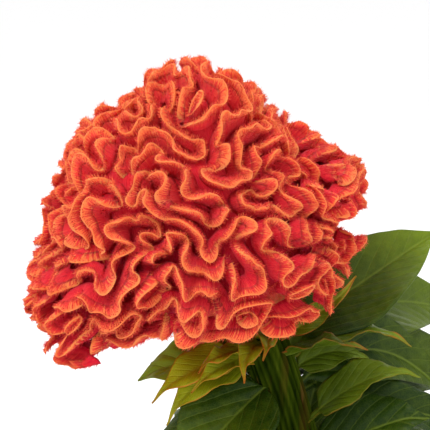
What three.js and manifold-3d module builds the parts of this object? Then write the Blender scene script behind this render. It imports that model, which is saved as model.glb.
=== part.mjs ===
// Potted cockscomb: a crested celosia with one large ruffled head, planted in a plain clay pot.
// Lengths are millimetres and +Z is up. The origin is the middle of the pot's underside.

import * as THREE from "three";
import { mergeVertices } from "three/addons/utils/BufferGeometryUtils.js";
import Module from "manifold-3d";

const wasm = await Module();
wasm.setup();

// Driving dimensions

const gap = 0.3; // air between two pieces that touch
const goldenAngle = 2.399963; // radians

const pot = {
  height: 108,
  footRadius: 42,
  shoulderRadius: 56.5,
  rimRadius: 63,
  rimHeight: 20,
  rimTaper: 1,
  wall: 5,
  floor: 7,
  chamfer: 1.5,
  drainRadius: 5,
  drainCircle: 24,
  drains: 3,
  drainSides: 12,
  sides: 40,
};

const soil = { edge: 95, mound: 6, lump: 1.5, rings: 3 };

const stem = {
  path: [[2, 0, 70], [2, 0, 120], [-6, 0, 165], [-27, 0, 220]],
  wide: [6.2, 9.6, 10.4], // half the broad side: in the soil, at the knee, at the neck
  thin: [5.2, 5.8, 7.2],
  knee: 2 / 3, // share of the length
  ridge: 0.06,
  sides: 16,
  steps: 20,
};

const head = {
  centre: [-57, -8, 270.7],
  leanLeft: 20, // degrees, away from upright
  leanForward: 8,
  top: 60, // radius over the crown
  skirt: 75, // radius at the widest, just above the rim
  skirtFrom: 0.4, // cosines of the polar angle between which the radius grows from top to skirt
  skirtTo: -0.25,
  flat: 0.1, // how much shallower the head is from front to back
  rim: -0.42, // cosine of the polar angle where the crest stops, with its changes on three sides
  rimChanges: [
    { toward: [0.64, -0.77], from: 0.6, over: 0.4, change: -0.34 },
    { toward: [-0.98, -0.2], from: 0.7, over: 0.3, change: -0.16 },
    { toward: [1, 0], from: 0.8, over: 0.2, change: 0.1 },
  ],
  lumps: 22,
  lumpHeight: 4,
  lumpSpread: 0.07,
  lumpReach: 1.5, // how far down from the crown, as a difference of cosines
  lumpShift: 0.9, // radians
  swells: [
    { at: [0.3, -0.2, 0.93], height: 8, spread: 0.1 },
    { at: [-0.95, -0.1, -0.3], height: 10, spread: 0.22 },
    { at: [0.96, -0.1, -0.2], height: 3, spread: 0.1 },
    { at: [0.95, -0.2, 0.3], height: -5, spread: 0.05 },
  ],
  seed: 41,
  reshape: [ // lets the grown crest out, or draws it in
    { at: [0.93, -0.15, -0.35], height: -8, spread: 0.12 },
    { at: [-0.8, -0.42, -0.43], height: 11, spread: 0.05 },
    { at: [-0.48, -0.79, -0.39], height: -8, spread: 0.05 },
    { at: [-0.35, -0.3, 0.88], height: 3, spread: 0.04 },
    { at: [0.55, -0.3, 0.78], height: 4, spread: 0.04 },
  ],
};

const crest = {
  startPolar: 1.15, // radians, the mean of the wavy loop that the crest grows from
  startWaves: [[3, 0.5, 1], [5, 0.26, 1], [8, 0.1, 0]], // how many, radians high, quarter turns ahead
  startSways: [[2, 0.16], [4, 0.12]],
  startPoints: 144,
  doublings: 3,
  roundsEach: 120,
  settleRounds: 120,
  spacing: 4.3,
  apart: 12.5,
  apartAtEnd: 8.8,
  spring: 0.22,
  smooth: 0.28,
  push: 0.6,
  uneven: 0.5,
  inherited: 0.7, // share of its neighbours' unevenness that a new point takes over
  renewed: 0.5, // and the share that is drawn anew
  settleGrowth: 0.12,
  settleSpeed: 1.3,
  longestMove: 1,
};

// Root and edge of the ruffled sheet: depth under the crest, smoothing rounds, half thickness
const sheetLayers = [
  { depth: 18, rounds: 14, half: 1.5 },
  { depth: 0, rounds: 0, half: 0.9 },
];
const sheetStep = { length: 13, turn: 0.9 }; // a new section after this much length or turning

const core = { depth: 15, columns: 24, polar: [18, 38, 58, 78, 98, 118], coneRows: 4, hollow: 9, rib: 1.2 };

const leafStyle = {
  blade: 0.8, // thickness of the blade
  stalk: 2.4, // thickness of the leafstalk
  stalkHalf: 1.4,
  stalkShare: 0.14,
  tipHalf: 0.35,
  fold: 18, // degrees that each half of the blade rises from the midrib
  wave: 1.6,
  waves: 2,
  rootPower: 0.9,
  tipPower: 1.35,
  rows: 9,
  columns: 4,
};
const bractStyle = {
  ...leafStyle,
  stalk: 1.6,
  stalkHalf: 1.2,
  rootPower: 0.8,
  tipPower: 1.5,
  rows: 7,
  columns: 2,
};

// Name, height of the root on the stem's axis, tip, rise of the arch, width, and the direction that the
// upper side looks in
function bladeRow([name, from, tip, lift, width, face]) {
  return { name, from, tip, lift, width, face };
}

const leaves = [
  ["leaf_right_broad", 213, [53, 38, 261], 4, 46, [-0.3, -0.8, 0.5]],
  ["leaf_right_low", 206, [40.5, 2, 216], 17.5, 17, [0.1, -0.3, 1]],
  ["leaf_right_front", 209, [16.5, -28, 221.5], 5, 12, [0, -0.1, 1]],
  ["leaf_right_short", 174, [41, -20, 208.5], 15.5, 20, [0, -0.55, 0.85]],
  ["leaf_right_pale", 197, [23.5, 7.5, 204.5], 19, 18, [0.2, -0.7, 0.8]],
  ["leaf_right_arched", 190, [57, 28.5, 184.5], 43.5, 31.5, [0.3, -0.85, 0.45]],
  ["leaf_right_dark", 157, [64, 4.5, 174], 32.5, 30.5, [0, -0.65, 0.75]],
  ["leaf_right_behind", 206, [68, 81.5, 210], 30, 40.5, [0, -0.85, 0.5]],
  ["leaf_right_far", 189, [75, 71, 181], 27, 39, [0.1, -0.85, 0.5]],
  ["leaf_right_under", 160, [44.5, -20, 189], 6, 34, [0, -0.7, 0.7]],
  ["leaf_left_broad", 199.5, [-63, -37.5, 163], 6, 42, [-0.35, -0.85, 0.4]],
  ["leaf_left_narrow", 182, [-76, 8, 166], 16, 24, [-0.3, -0.5, 0.8]],
  ["leaf_left_pale", 203.5, [-81.5, 12, 197.5], 10, 22, [0, -0.5, 0.85]],
  ["leaf_back_left", 196, [-80, 64, 188], 8, 36, [-0.2, 0.3, 1]],
  ["leaf_back_middle", 189.5, [0.5, 93, 184], 27, 40, [0, 0.2, 1]],
  ["leaf_back_low", 168, [-68, 62, 160], 30, 38, [-0.3, 0.2, 1]],
].map(bladeRow);

const bracts = [
  ["bract_left_long", 211, [-75, -26, 197], 11, 15, [-0.3, -0.7, 0.6]],
  ["bract_left_low", 206, [-70, -22, 186], 18, 16, [-0.3, -0.7, 0.6]],
  ["bract_left_slim", 210.5, [-57, -36.5, 204.5], 8, 9, [-0.2, -0.8, 0.6]],
  ["bract_left_small", 215, [-54.5, -37.5, 214.5], 2.5, 7, [-0.2, -0.7, 0.7]],
  ["bract_front", 211, [-37, -42.5, 210.5], 17, 10, [-0.1, -0.8, 0.6]],
  ["bract_front_thin", 212.5, [-25, -37, 219], 12, 8, [0, -0.8, 0.6]],
  ["bract_right", 214, [13.5, -18.5, 247], -4, 10, [0.2, -0.8, 0.5]],
  ["bract_back_1", 215, [-17.5, 28.5, 206.5], 4.5, 10, [-0.06, -0.19, 1]],
  ["bract_back_2", 215, [-32, 38.5, 212], 9.5, 10, [0.06, -0.19, 1]],
  ["bract_back_3", 210.5, [-53.5, 33, 207], 8, 10, [0.15, -0.13, 1]],
].map(bladeRow);

// The leaves low on the stem follow one another round it at the golden angle, and arch over the pot's rim
const lowLeaves = {
  count: 7,
  lowest: 108,
  highest: 146,
  first: 70,
  turn: 137.5,
  length: [85, 99],
  width: 38,
  lift: 40,
  tipRise: [-4, 10],
};

// Vectors and solids

function vector(list) {
  return new THREE.Vector3(list[0], list[1], list[2]);
}

function radians(degrees) {
  return THREE.MathUtils.degToRad(degrees);
}

function solidFrom(points, triangles) {
  const flat = new Float32Array(points.length * 3);
  points.forEach((point, i) => point.toArray(flat, 3 * i));
  let volume = 0;
  for (const [a, b, c] of triangles) {
    volume += points[a].dot(new THREE.Vector3().crossVectors(points[b], points[c]));
  }
  const outward = volume > 0 ? triangles : triangles.map(([a, b, c]) => [a, c, b]);
  const mesh = new wasm.Mesh({ numProp: 3, vertProperties: flat, triVerts: new Uint32Array(outward.flat()) });
  return new wasm.Manifold(mesh);
}

function solidFromGeometry(geometry) {
  const bare = geometry.clone();
  bare.deleteAttribute("normal");
  bare.deleteAttribute("uv");
  const merged = mergeVertices(bare, 1e-4);
  const mesh = new wasm.Mesh({
    numProp: 3,
    vertProperties: merged.attributes.position.array,
    triVerts: new Uint32Array(merged.index.array),
  });
  return new wasm.Manifold(mesh);
}

function geometryOf(solid) {
  const mesh = solid.getMesh();
  const geometry = new THREE.BufferGeometry();
  geometry.setAttribute("position", new THREE.BufferAttribute(mesh.vertProperties, 3));
  geometry.setIndex(new THREE.BufferAttribute(mesh.triVerts, 1));
  geometry.computeVertexNormals();
  return geometry;
}

function largestPiece(solid) {
  const pieces = solid.decompose();
  return pieces.reduce((best, piece) => (piece.volume() > best.volume() ? piece : best));
}

// Rings of equally many points, joined one to the next and closed at both ends
function loft(rings, firstPoint, lastPoint) {
  const count = rings[0].length;
  const points = [...rings.flat(), firstPoint, lastPoint];
  const first = points.length - 2;
  const last = points.length - 1;
  const triangles = [];
  for (let i = 0; i < count; i++) {
    const next = (i + 1) % count;
    triangles.push([first, next, i]);
    for (let row = 0; row + 1 < rings.length; row++) {
      const low = row * count;
      const high = low + count;
      triangles.push([low + i, low + next, high + next], [low + i, high + next, high + i]);
    }
    const end = (rings.length - 1) * count;
    triangles.push([last, end + i, end + next]);
  }
  return solidFrom(points, triangles);
}

// A stated seed gives the same draws every time
function randomSource(seed) {
  let state = seed;
  return () => {
    state = (state * 16807) % 2147483647;
    return state / 2147483647;
  };
}

function rounded(value) {
  return Math.round(value * 1e6) / 1e6;
}

// Pot

function innerPotRadius(z) {
  const low = pot.footRadius - pot.wall;
  const high = pot.shoulderRadius - pot.wall;
  return low + ((high - low) * (z - pot.floor)) / (pot.height - pot.rimHeight - pot.floor);
}

function makePot() {
  const { height, footRadius, shoulderRadius, rimRadius, rimHeight, rimTaper, floor, chamfer } = pot;
  const rimBottom = height - rimHeight;
  const profile = [
    [0, 0],
    [footRadius - chamfer, 0],
    [footRadius, chamfer],
    [shoulderRadius, rimBottom - chamfer],
    [rimRadius - rimTaper - chamfer, rimBottom],
    [rimRadius - rimTaper, rimBottom + chamfer],
    [rimRadius, height - chamfer],
    [rimRadius - chamfer, height],
    [innerPotRadius(height) + chamfer, height],
    [innerPotRadius(height - chamfer), height - chamfer],
    [innerPotRadius(floor), floor],
    [0, floor],
  ];
  const lathe = new THREE.LatheGeometry(profile.map(([r, z]) => new THREE.Vector2(r, z)), pot.sides);
  lathe.rotateX(Math.PI / 2);
  let solid = solidFromGeometry(lathe);
  for (let i = 0; i < pot.drains; i++) {
    const angle = (i * 2 * Math.PI) / pot.drains + Math.PI / 2;
    const hole = new THREE.CylinderGeometry(pot.drainRadius, pot.drainRadius, 4 * floor, pot.drainSides);
    hole.rotateX(Math.PI / 2);
    hole.translate(pot.drainCircle * Math.cos(angle), pot.drainCircle * Math.sin(angle), 0);
    solid = solid.subtract(solidFromGeometry(hole));
  }
  return solid;
}

// Stem: a broad, ridged stem that leans towards the head as it rises

const stemCurve = new THREE.CubicBezierCurve3(...stem.path.map(vector));

function stemAt(height) {
  const halvings = 30;
  let low = 0;
  let high = 1;
  for (let i = 0; i < halvings; i++) {
    const middle = (low + high) / 2;
    if (stemCurve.getPoint(middle).z < height) low = middle;
    else high = middle;
  }
  return stemCurve.getPoint(low);
}

function threeStep(values, t) {
  const { knee } = stem;
  if (t < knee) return values[0] + ((values[1] - values[0]) * t) / knee;
  return values[1] + ((values[2] - values[1]) * (t - knee)) / (1 - knee);
}

function stemRing(t, sides, grow, ridge) {
  const centre = stemCurve.getPoint(t);
  const along = stemCurve.getTangent(t);
  const broad = new THREE.Vector3(along.z, 0, -along.x);
  const deep = new THREE.Vector3(0, 1, 0);
  const ring = [];
  for (let i = 0; i < sides; i++) {
    const angle = (2 * Math.PI * i) / sides;
    const ripple = 1 + (i % 2 ? -ridge : ridge);
    const x = (threeStep(stem.wide, t) * ripple + grow) * Math.cos(angle);
    const y = (threeStep(stem.thin, t) * ripple + grow) * Math.sin(angle);
    ring.push(centre.clone().addScaledVector(broad, x).addScaledVector(deep, y));
  }
  return ring;
}

function makeStem(grow) {
  const rings = [];
  for (let i = 0; i <= stem.steps; i++) rings.push(stemRing(i / stem.steps, stem.sides, grow, stem.ridge));
  const down = new THREE.Vector3(0, 0, -grow);
  rings[0].forEach((point) => point.add(down));
  const up = stemCurve.getTangent(1).multiplyScalar(grow);
  rings[stem.steps].forEach((point) => point.add(up));
  return loft(rings, stemCurve.getPoint(0).add(down), stemCurve.getPoint(1).add(up));
}

// Soil: fills the pot and has a plain hole for the stem

function makeSoil() {
  const ring = (radius, height) => {
    const points = [];
    for (let i = 0; i < pot.sides; i++) {
      const angle = (2 * Math.PI * i) / pot.sides;
      const bump = soil.lump * Math.sin(3 * angle + radius) * Math.cos(5 * angle - radius / 3);
      const z = height + (height > soil.edge ? bump : 0);
      points.push(new THREE.Vector3(radius * Math.cos(angle), radius * Math.sin(angle), z));
    }
    return points;
  };
  const bottom = pot.floor + gap;
  const reach = innerPotRadius(soil.edge) - gap;
  const rings = [ring(innerPotRadius(bottom) - gap, bottom), ring(reach, soil.edge)];
  for (let i = 1; i < soil.rings; i++) {
    const share = i / soil.rings;
    rings.push(ring(reach * (1 - share), soil.edge + soil.mound * share * (2 - share)));
  }
  const solid = loft(rings, new THREE.Vector3(0, 0, bottom), new THREE.Vector3(0, 0, soil.edge + soil.mound));
  return solid.subtract(makeStem(gap));
}

// Head: its shell is the surface on which the crest's edge lies, given by a radius for each direction

const headUp = new THREE.Vector3(
  -Math.sin(radians(head.leanLeft)) * Math.cos(radians(head.leanForward)),
  -Math.sin(radians(head.leanForward)),
  Math.cos(radians(head.leanLeft)) * Math.cos(radians(head.leanForward)),
);
const headRight = new THREE.Vector3(1, 0, 0).addScaledVector(headUp, -headUp.x).normalize();
const headBack = new THREE.Vector3().crossVectors(headUp, headRight);
const headFrame = new THREE.Matrix4().makeBasis(headRight, headBack, headUp).setPosition(vector(head.centre));

function unit(x, y, z) {
  const length = Math.sqrt(x * x + y * y + z * z);
  return [x / length, y / length, z / length];
}

function makeSwells() {
  const random = randomSource(head.seed);
  const lumps = [];
  for (let i = 0; i < head.lumps; i++) {
    const up = rounded(1 - (head.lumpReach * (i + 0.5)) / head.lumps);
    const turn = goldenAngle * i + head.lumpShift * random();
    const flat = Math.sqrt(1 - up * up);
    const at = unit(rounded(flat * Math.cos(turn)), rounded(flat * Math.sin(turn)), up);
    lumps.push({ at, height: head.lumpHeight, spread: head.lumpSpread });
  }
  return [...head.swells.map((swell) => ({ ...swell, at: unit(...swell.at) })), ...lumps];
}

function added(places, x, y, z) {
  let sum = 0;
  for (const { at, height, spread } of places) {
    const near = (x * at[0] + y * at[1] + z * at[2] - (1 - spread)) / spread;
    if (near > 0) sum += height * near * near * (3 - 2 * near);
  }
  return sum;
}

const swells = makeSwells();
const reshape = head.reshape.map((place) => ({ ...place, at: unit(...place.at) }));

function shellRadius(x, y, z) {
  let low = (head.skirtFrom - z) / (head.skirtFrom - head.skirtTo);
  low = low < 0 ? 0 : low > 1 ? 1 : low;
  let radius = head.top + (head.skirt - head.top) * low * low * (3 - 2 * low);
  return radius * (1 - head.flat * y * y) + added(swells, x, y, z);
}

function finalRadius(x, y, z) {
  return shellRadius(x, y, z) + added(reshape, x, y, z);
}

function rimLimit(x, y) {
  let limit = head.rim;
  for (const { toward, from, over, change } of head.rimChanges) {
    const near = (x * toward[0] + y * toward[1] - from) / over;
    if (near > 0) limit += change * near;
  }
  return limit;
}

// The edge of the crest is one closed line that grows longer and longer on the shell. Neighbouring
// points are joined by springs, strands push each other apart, and so the line folds into ruffles.
function growCrest() {
  const random = randomSource(head.seed);
  const fullTurn = 6.283;
  const wavePhases = crest.startWaves.map(() => random() * fullTurn);
  const swayPhases = crest.startSways.map(() => random() * fullTurn);
  let count = crest.startPoints;
  let line = new Float64Array(3 * count);
  let growth = new Float64Array(count);
  for (let i = 0; i < count; i++) {
    const f = (2 * Math.PI * i) / count;
    let polar = crest.startPolar;
    crest.startWaves.forEach(([waves, size, quarters], k) => {
      polar += size * Math.sin(waves * f + wavePhases[k] + (quarters * Math.PI) / 2);
    });
    let turn = f;
    crest.startSways.forEach(([waves, size], k) => {
      turn += size * Math.sin(waves * f + swayPhases[k]);
    });
    const flat = Math.sin(polar);
    const at = unit(rounded(flat * Math.cos(turn)), rounded(flat * Math.sin(turn)), rounded(Math.cos(polar)));
    const radius = shellRadius(...at);
    for (let c = 0; c < 3; c++) line[3 * i + c] = at[c] * radius;
    growth[i] = rounded(1 + crest.uneven * (random() * 2 - 1));
  }

  const round = (spacing, apart) => {
    const move = new Float64Array(3 * count);
    for (let i = 0; i < count; i++) {
      const before = (i + count - 1) % count;
      const after = (i + 1) % count;
      for (const j of [before, after]) {
        const wanted = spacing * (j === after ? growth[i] : growth[j]);
        const dx = line[3 * j] - line[3 * i];
        const dy = line[3 * j + 1] - line[3 * i + 1];
        const dz = line[3 * j + 2] - line[3 * i + 2];
        const distance = Math.sqrt(dx * dx + dy * dy + dz * dz) + 1e-9;
        const pull = (crest.spring * (distance - wanted)) / distance;
        move[3 * i] += pull * dx;
        move[3 * i + 1] += pull * dy;
        move[3 * i + 2] += pull * dz;
      }
      for (let c = 0; c < 3; c++) {
        const between = (line[3 * before + c] + line[3 * after + c]) / 2;
        move[3 * i + c] += crest.smooth * (between - line[3 * i + c]);
      }
    }
    const shove = new Float64Array(3 * count);
    const reach = apart * apart;
    const strength = (crest.push * spacing) / 4;
    for (let i = 0; i < count; i++) {
      for (let j = i + 2; j < count; j++) {
        if (count - (j - i) < 2) continue;
        const dx = line[3 * j] - line[3 * i];
        const dy = line[3 * j + 1] - line[3 * i + 1];
        const dz = line[3 * j + 2] - line[3 * i + 2];
        const square = dx * dx + dy * dy + dz * dz;
        if (square >= reach) continue;
        const distance = Math.sqrt(square) + 1e-9;
        const push = ((1 - distance / apart) / distance) * strength;
        shove[3 * i] -= push * dx;
        shove[3 * i + 1] -= push * dy;
        shove[3 * i + 2] -= push * dz;
        shove[3 * j] += push * dx;
        shove[3 * j + 1] += push * dy;
        shove[3 * j + 2] += push * dz;
      }
    }
    for (let i = 0; i < count; i++) {
      const mx = move[3 * i] + shove[3 * i];
      const my = move[3 * i + 1] + shove[3 * i + 1];
      const mz = move[3 * i + 2] + shove[3 * i + 2];
      const length = Math.sqrt(mx * mx + my * my + mz * mz);
      const share = length > crest.longestMove ? crest.longestMove / length : 1;
      let at = unit(line[3 * i] + share * mx, line[3 * i + 1] + share * my, line[3 * i + 2] + share * mz);
      const limit = rimLimit(at[0], at[1]);
      if (at[2] < limit) at = unit(at[0], at[1], at[2] + 0.5 * (limit - at[2]));
      const radius = shellRadius(at[0], at[1], at[2]);
      line[3 * i] = at[0] * radius;
      line[3 * i + 1] = at[1] * radius;
      line[3 * i + 2] = at[2] * radius;
    }
  };

  const split = () => {
    const longer = new Float64Array(6 * count);
    const growths = new Float64Array(2 * count);
    for (let i = 0; i < count; i++) {
      const next = (i + 1) % count;
      for (let c = 0; c < 3; c++) {
        longer[6 * i + c] = line[3 * i + c];
        longer[6 * i + 3 + c] = (line[3 * i + c] + line[3 * next + c]) / 2;
      }
      const mean = 0.5 * (growth[i] + growth[next]) - 1;
      growths[2 * i] = growth[i];
      const drawn = crest.uneven * crest.renewed * (random() * 2 - 1);
      growths[2 * i + 1] = rounded(1 + crest.inherited * mean + drawn);
    }
    line = longer;
    growth = growths;
    count *= 2;
  };

  for (let stage = 0; stage <= crest.doublings; stage++) {
    for (let i = 1; i <= crest.roundsEach; i++) {
      round(crest.spacing * (0.5 + (0.5 * i) / crest.roundsEach), crest.apart);
    }
    if (stage < crest.doublings) split();
  }
  for (let i = 1; i <= crest.settleRounds; i++) {
    const share = i / crest.settleRounds;
    const close = Math.min(1, share * crest.settleSpeed);
    const apart = crest.apart + (crest.apartAtEnd - crest.apart) * close;
    round(crest.spacing * (1 + crest.settleGrowth * share), apart);
  }
  return { line, count };
}

// A deeper line of the ruffled sheet is the crest's line smoothed and drawn inwards
function sheetLine({ line, count }, rounds, depth) {
  let now = line.slice();
  for (let k = 0; k < rounds; k++) {
    const next = new Float64Array(3 * count);
    for (let i = 0; i < count; i++) {
      const before = (i + count - 1) % count;
      const after = (i + 1) % count;
      for (let c = 0; c < 3; c++) {
        next[3 * i + c] = 0.5 * now[3 * i + c] + 0.25 * (now[3 * before + c] + now[3 * after + c]);
      }
    }
    now = next;
  }
  const points = [];
  for (let i = 0; i < count; i++) {
    const at = unit(now[3 * i], now[3 * i + 1], now[3 * i + 2]);
    points.push(vector(at).multiplyScalar(finalRadius(...at) - depth));
  }
  return points;
}

// Sections are taken closer together where the line turns
function sectionIndices(points) {
  const count = points.length;
  const chosen = [0];
  let spent = 0;
  for (let i = 1; i < count; i++) {
    const back = points[i].clone().sub(points[i - 1]);
    const ahead = points[(i + 1) % count].clone().sub(points[i]);
    spent += back.length() / sheetStep.length + back.angleTo(ahead) / sheetStep.turn;
    if (spent < 1) continue;
    chosen.push(i);
    spent = 0;
  }
  return chosen;
}

function makeSheet() {
  const grown = growCrest();
  const lines = sheetLayers.map((layer) => sheetLine(grown, layer.rounds, layer.depth));
  const chosen = sectionIndices(lines[lines.length - 1]);
  const count = grown.count;
  const left = lines.map(() => []);
  const right = lines.map(() => []);
  for (const i of chosen) {
    lines.forEach((points, k) => {
      const along = points[(i + 1) % count].clone().sub(points[(i + count - 1) % count]);
      const side = new THREE.Vector3().crossVectors(points[i], along).normalize();
      left[k].push(points[i].clone().addScaledVector(side, sheetLayers[k].half));
      right[k].push(points[i].clone().addScaledVector(side, -sheetLayers[k].half));
    });
  }
  const around = [...left, ...right.reverse()];
  const sections = chosen.length;
  const triangles = [];
  for (let row = 0; row < around.length; row++) {
    const low = row * sections;
    const high = ((row + 1) % around.length) * sections;
    for (let i = 0; i < sections; i++) {
      const next = (i + 1) % sections;
      triangles.push([low + i, low + next, high + next], [low + i, high + next, high + i]);
    }
  }
  return solidFrom(around.flat(), triangles).transform(headFrame.elements);
}

// The core fills the head below the ruffles and narrows to the neck, where it meets the stem
function makeCore() {
  const rings = core.polar.map((degrees) => {
    const ring = [];
    for (let i = 0; i < core.columns; i++) {
      const turn = (2 * Math.PI * i) / core.columns;
      const flat = Math.sin(radians(degrees));
      const at = new THREE.Vector3(flat * Math.cos(turn), flat * Math.sin(turn), Math.cos(radians(degrees)));
      at.multiplyScalar(finalRadius(at.x, at.y, at.z) - core.depth);
      ring.push(at.applyMatrix4(headFrame));
    }
    return ring;
  });
  const lift = stemCurve.getTangent(1).multiplyScalar(gap);
  const neck = stemRing(1, core.columns, 0, 0).map((point) => point.add(lift));
  const rim = rings[rings.length - 1];
  for (let row = 1; row <= core.coneRows; row++) {
    const share = row / core.coneRows;
    const rib = core.rib * Math.sin(Math.PI * share);
    const ring = rim.map((point, i) => {
      const along = point.clone().lerp(neck[i], share);
      along.z += core.hollow * Math.sin(Math.PI * share) + (i % 2 ? rib : -rib);
      return along;
    });
    rings.push(ring);
  }
  const crown = new THREE.Vector3(0, 0, finalRadius(0, 0, 1) - core.depth).applyMatrix4(headFrame);
  return loft(rings, crown, stemCurve.getPoint(1).add(lift));
}

function makeHead() {
  return largestPiece(makeCore().add(makeSheet()));
}

// Leaves and bracts: a stalk that widens into a folded, waved, pointed blade

function bladeHalf(style, width, t) {
  const peak = style.rootPower / (style.rootPower + style.tipPower);
  const most = peak ** style.rootPower * (1 - peak) ** style.tipPower;
  return ((width / 2) * t ** style.rootPower * (1 - t) ** style.tipPower) / most;
}

function makeLeaf(leaf, style) {
  const { stalkShare, wave, waves } = style;
  const fold = radians(style.fold);
  const root = stemAt(leaf.from);
  const tip = vector(leaf.tip);
  const bend = root.clone().lerp(tip, 0.5).add(new THREE.Vector3(0, 0, leaf.lift));
  const midrib = new THREE.QuadraticBezierCurve3(root, bend, tip);
  const face = vector(leaf.face).normalize();
  const upper = [];
  const lower = [];
  for (let row = 0; row <= style.rows; row++) {
    const u = row / style.rows;
    const centre = midrib.getPoint(u);
    const along = midrib.getTangent(u);
    const side = new THREE.Vector3().crossVectors(along, face).normalize();
    const normal = new THREE.Vector3().crossVectors(side, along);
    const t = Math.max(0, (u - stalkShare) / (1 - stalkShare));
    const half = bladeHalf(style, leaf.width, t) + style.stalkHalf * (1 - t) + style.tipHalf;
    for (let column = 0; column <= style.columns; column++) {
      const s = (2 * column) / style.columns - 1;
      const edge = Math.abs(s);
      const ripple = wave * s * s * Math.sin(2 * Math.PI * waves * t + (s > 0 ? 0.6 : 2.6));
      const rise = half * edge * Math.sin(fold) + ripple * Math.sin(Math.PI * t);
      const at = centre.clone().addScaledVector(side, s * half * Math.cos(fold));
      at.addScaledVector(normal, rise);
      const thick = style.blade + (style.stalk - style.blade) * (1 - t) ** 2 * (1 - edge * (t > 0 ? 1 : 0.3));
      upper.push(at.clone().addScaledVector(normal, thick / 2));
      lower.push(at.clone().addScaledVector(normal, -thick / 2));
    }
  }
  const across = style.columns + 1;
  const under = upper.length;
  const triangles = [];
  const quad = (a, b, c, d) => triangles.push([a, b, c], [a, c, d]);
  for (let row = 0; row < style.rows; row++) {
    for (let column = 0; column < style.columns; column++) {
      const a = row * across + column;
      const b = a + across;
      triangles.push([a, b, b + 1], [a, b + 1, a + 1]);
      triangles.push([under + a, under + b + 1, under + b], [under + a, under + a + 1, under + b + 1]);
    }
    const left = row * across;
    const right = left + style.columns;
    quad(left, under + left, under + left + across, left + across);
    quad(right, right + across, under + right + across, under + right);
  }
  const end = style.rows * across;
  for (let column = 0; column < style.columns; column++) {
    quad(column, column + 1, under + column + 1, under + column);
    quad(end + column, under + end + column, under + end + column + 1, end + column + 1);
  }
  return solidFrom([...upper, ...lower], triangles);
}

function lowLeafList() {
  const random = randomSource(head.seed);
  const between = ([low, high]) => low + (high - low) * random();
  const list = [];
  for (let i = 0; i < lowLeaves.count; i++) {
    const from = lowLeaves.lowest + ((lowLeaves.highest - lowLeaves.lowest) * i) / (lowLeaves.count - 1);
    const turn = radians(lowLeaves.first + lowLeaves.turn * i);
    const length = between(lowLeaves.length);
    const root = stemAt(from);
    const rise = between(lowLeaves.tipRise);
    const tip = [root.x + length * Math.cos(turn), root.y + length * Math.sin(turn), from + rise];
    const face = [-0.25 * Math.cos(turn), -0.25 * Math.sin(turn), 1];
    list.push({ ...lowLeaves, name: `leaf_low_${i + 1}`, from, tip, face });
  }
  return list;
}

// Colours and finishes

const finishes = {
  clay: { color: 0xb5653f, roughness: 0.9 },
  earth: { color: 0x3a2a20, roughness: 1 },
  stemGreen: { color: 0x3f5a1c, roughness: 0.6 },
  crestRed: { color: 0xe0432a, roughness: 0.95 },
  leafGreen: { color: 0x2f5216, roughness: 0.5 },
  bractGreen: { color: 0x8c9a26, roughness: 0.55 },
};

const materials = {};
for (const [name, finish] of Object.entries(finishes)) {
  materials[name] = new THREE.MeshStandardMaterial({ ...finish, metalness: 0, name });
}

// Assembly

const plant = new THREE.Group();

function place(name, solid, material) {
  const mesh = new THREE.Mesh(geometryOf(solid), materials[material]);
  mesh.name = name;
  plant.add(mesh);
}

const stemRoom = makeStem(gap);
place("pot", makePot(), "clay");
place("soil", makeSoil(), "earth");
place("stem", makeStem(0), "stemGreen");
place("flower_head", makeHead(), "crestRed");
for (const leaf of [...leaves, ...lowLeafList()]) {
  place(leaf.name, largestPiece(makeLeaf(leaf, leafStyle).subtract(stemRoom)), "leafGreen");
}
for (const bract of bracts) {
  place(bract.name, largestPiece(makeLeaf(bract, bractStyle).subtract(stemRoom)), "bractGreen");
}

export default plant;
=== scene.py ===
# A potted cockscomb: fine ruffles with bristles, veined leaves, a ridged stem, soil and a clay pot,
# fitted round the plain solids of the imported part. Shapes are worked out in millimetres in the part's
# own frame (+Z up) and written to the meshes in metres.

import bpy
import numpy as np
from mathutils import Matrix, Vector


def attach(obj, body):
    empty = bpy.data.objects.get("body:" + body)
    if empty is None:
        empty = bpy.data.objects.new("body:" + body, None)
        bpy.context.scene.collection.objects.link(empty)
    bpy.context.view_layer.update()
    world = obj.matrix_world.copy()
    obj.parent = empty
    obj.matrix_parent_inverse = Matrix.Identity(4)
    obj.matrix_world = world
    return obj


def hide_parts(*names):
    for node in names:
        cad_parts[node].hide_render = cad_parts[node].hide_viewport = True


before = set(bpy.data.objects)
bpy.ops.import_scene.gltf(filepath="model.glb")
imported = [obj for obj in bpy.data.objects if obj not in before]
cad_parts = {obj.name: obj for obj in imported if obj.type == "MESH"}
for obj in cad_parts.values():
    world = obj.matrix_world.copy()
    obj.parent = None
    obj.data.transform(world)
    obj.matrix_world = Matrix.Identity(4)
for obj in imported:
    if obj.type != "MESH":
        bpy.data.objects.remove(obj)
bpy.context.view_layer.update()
print("frame loaded")

toMetres = 0.001  # all shapes are in millimetres


# Meshes


def newObject(name, data):
    made = bpy.data.objects.new(name, data)
    bpy.context.scene.collection.objects.link(made)
    return made


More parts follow.
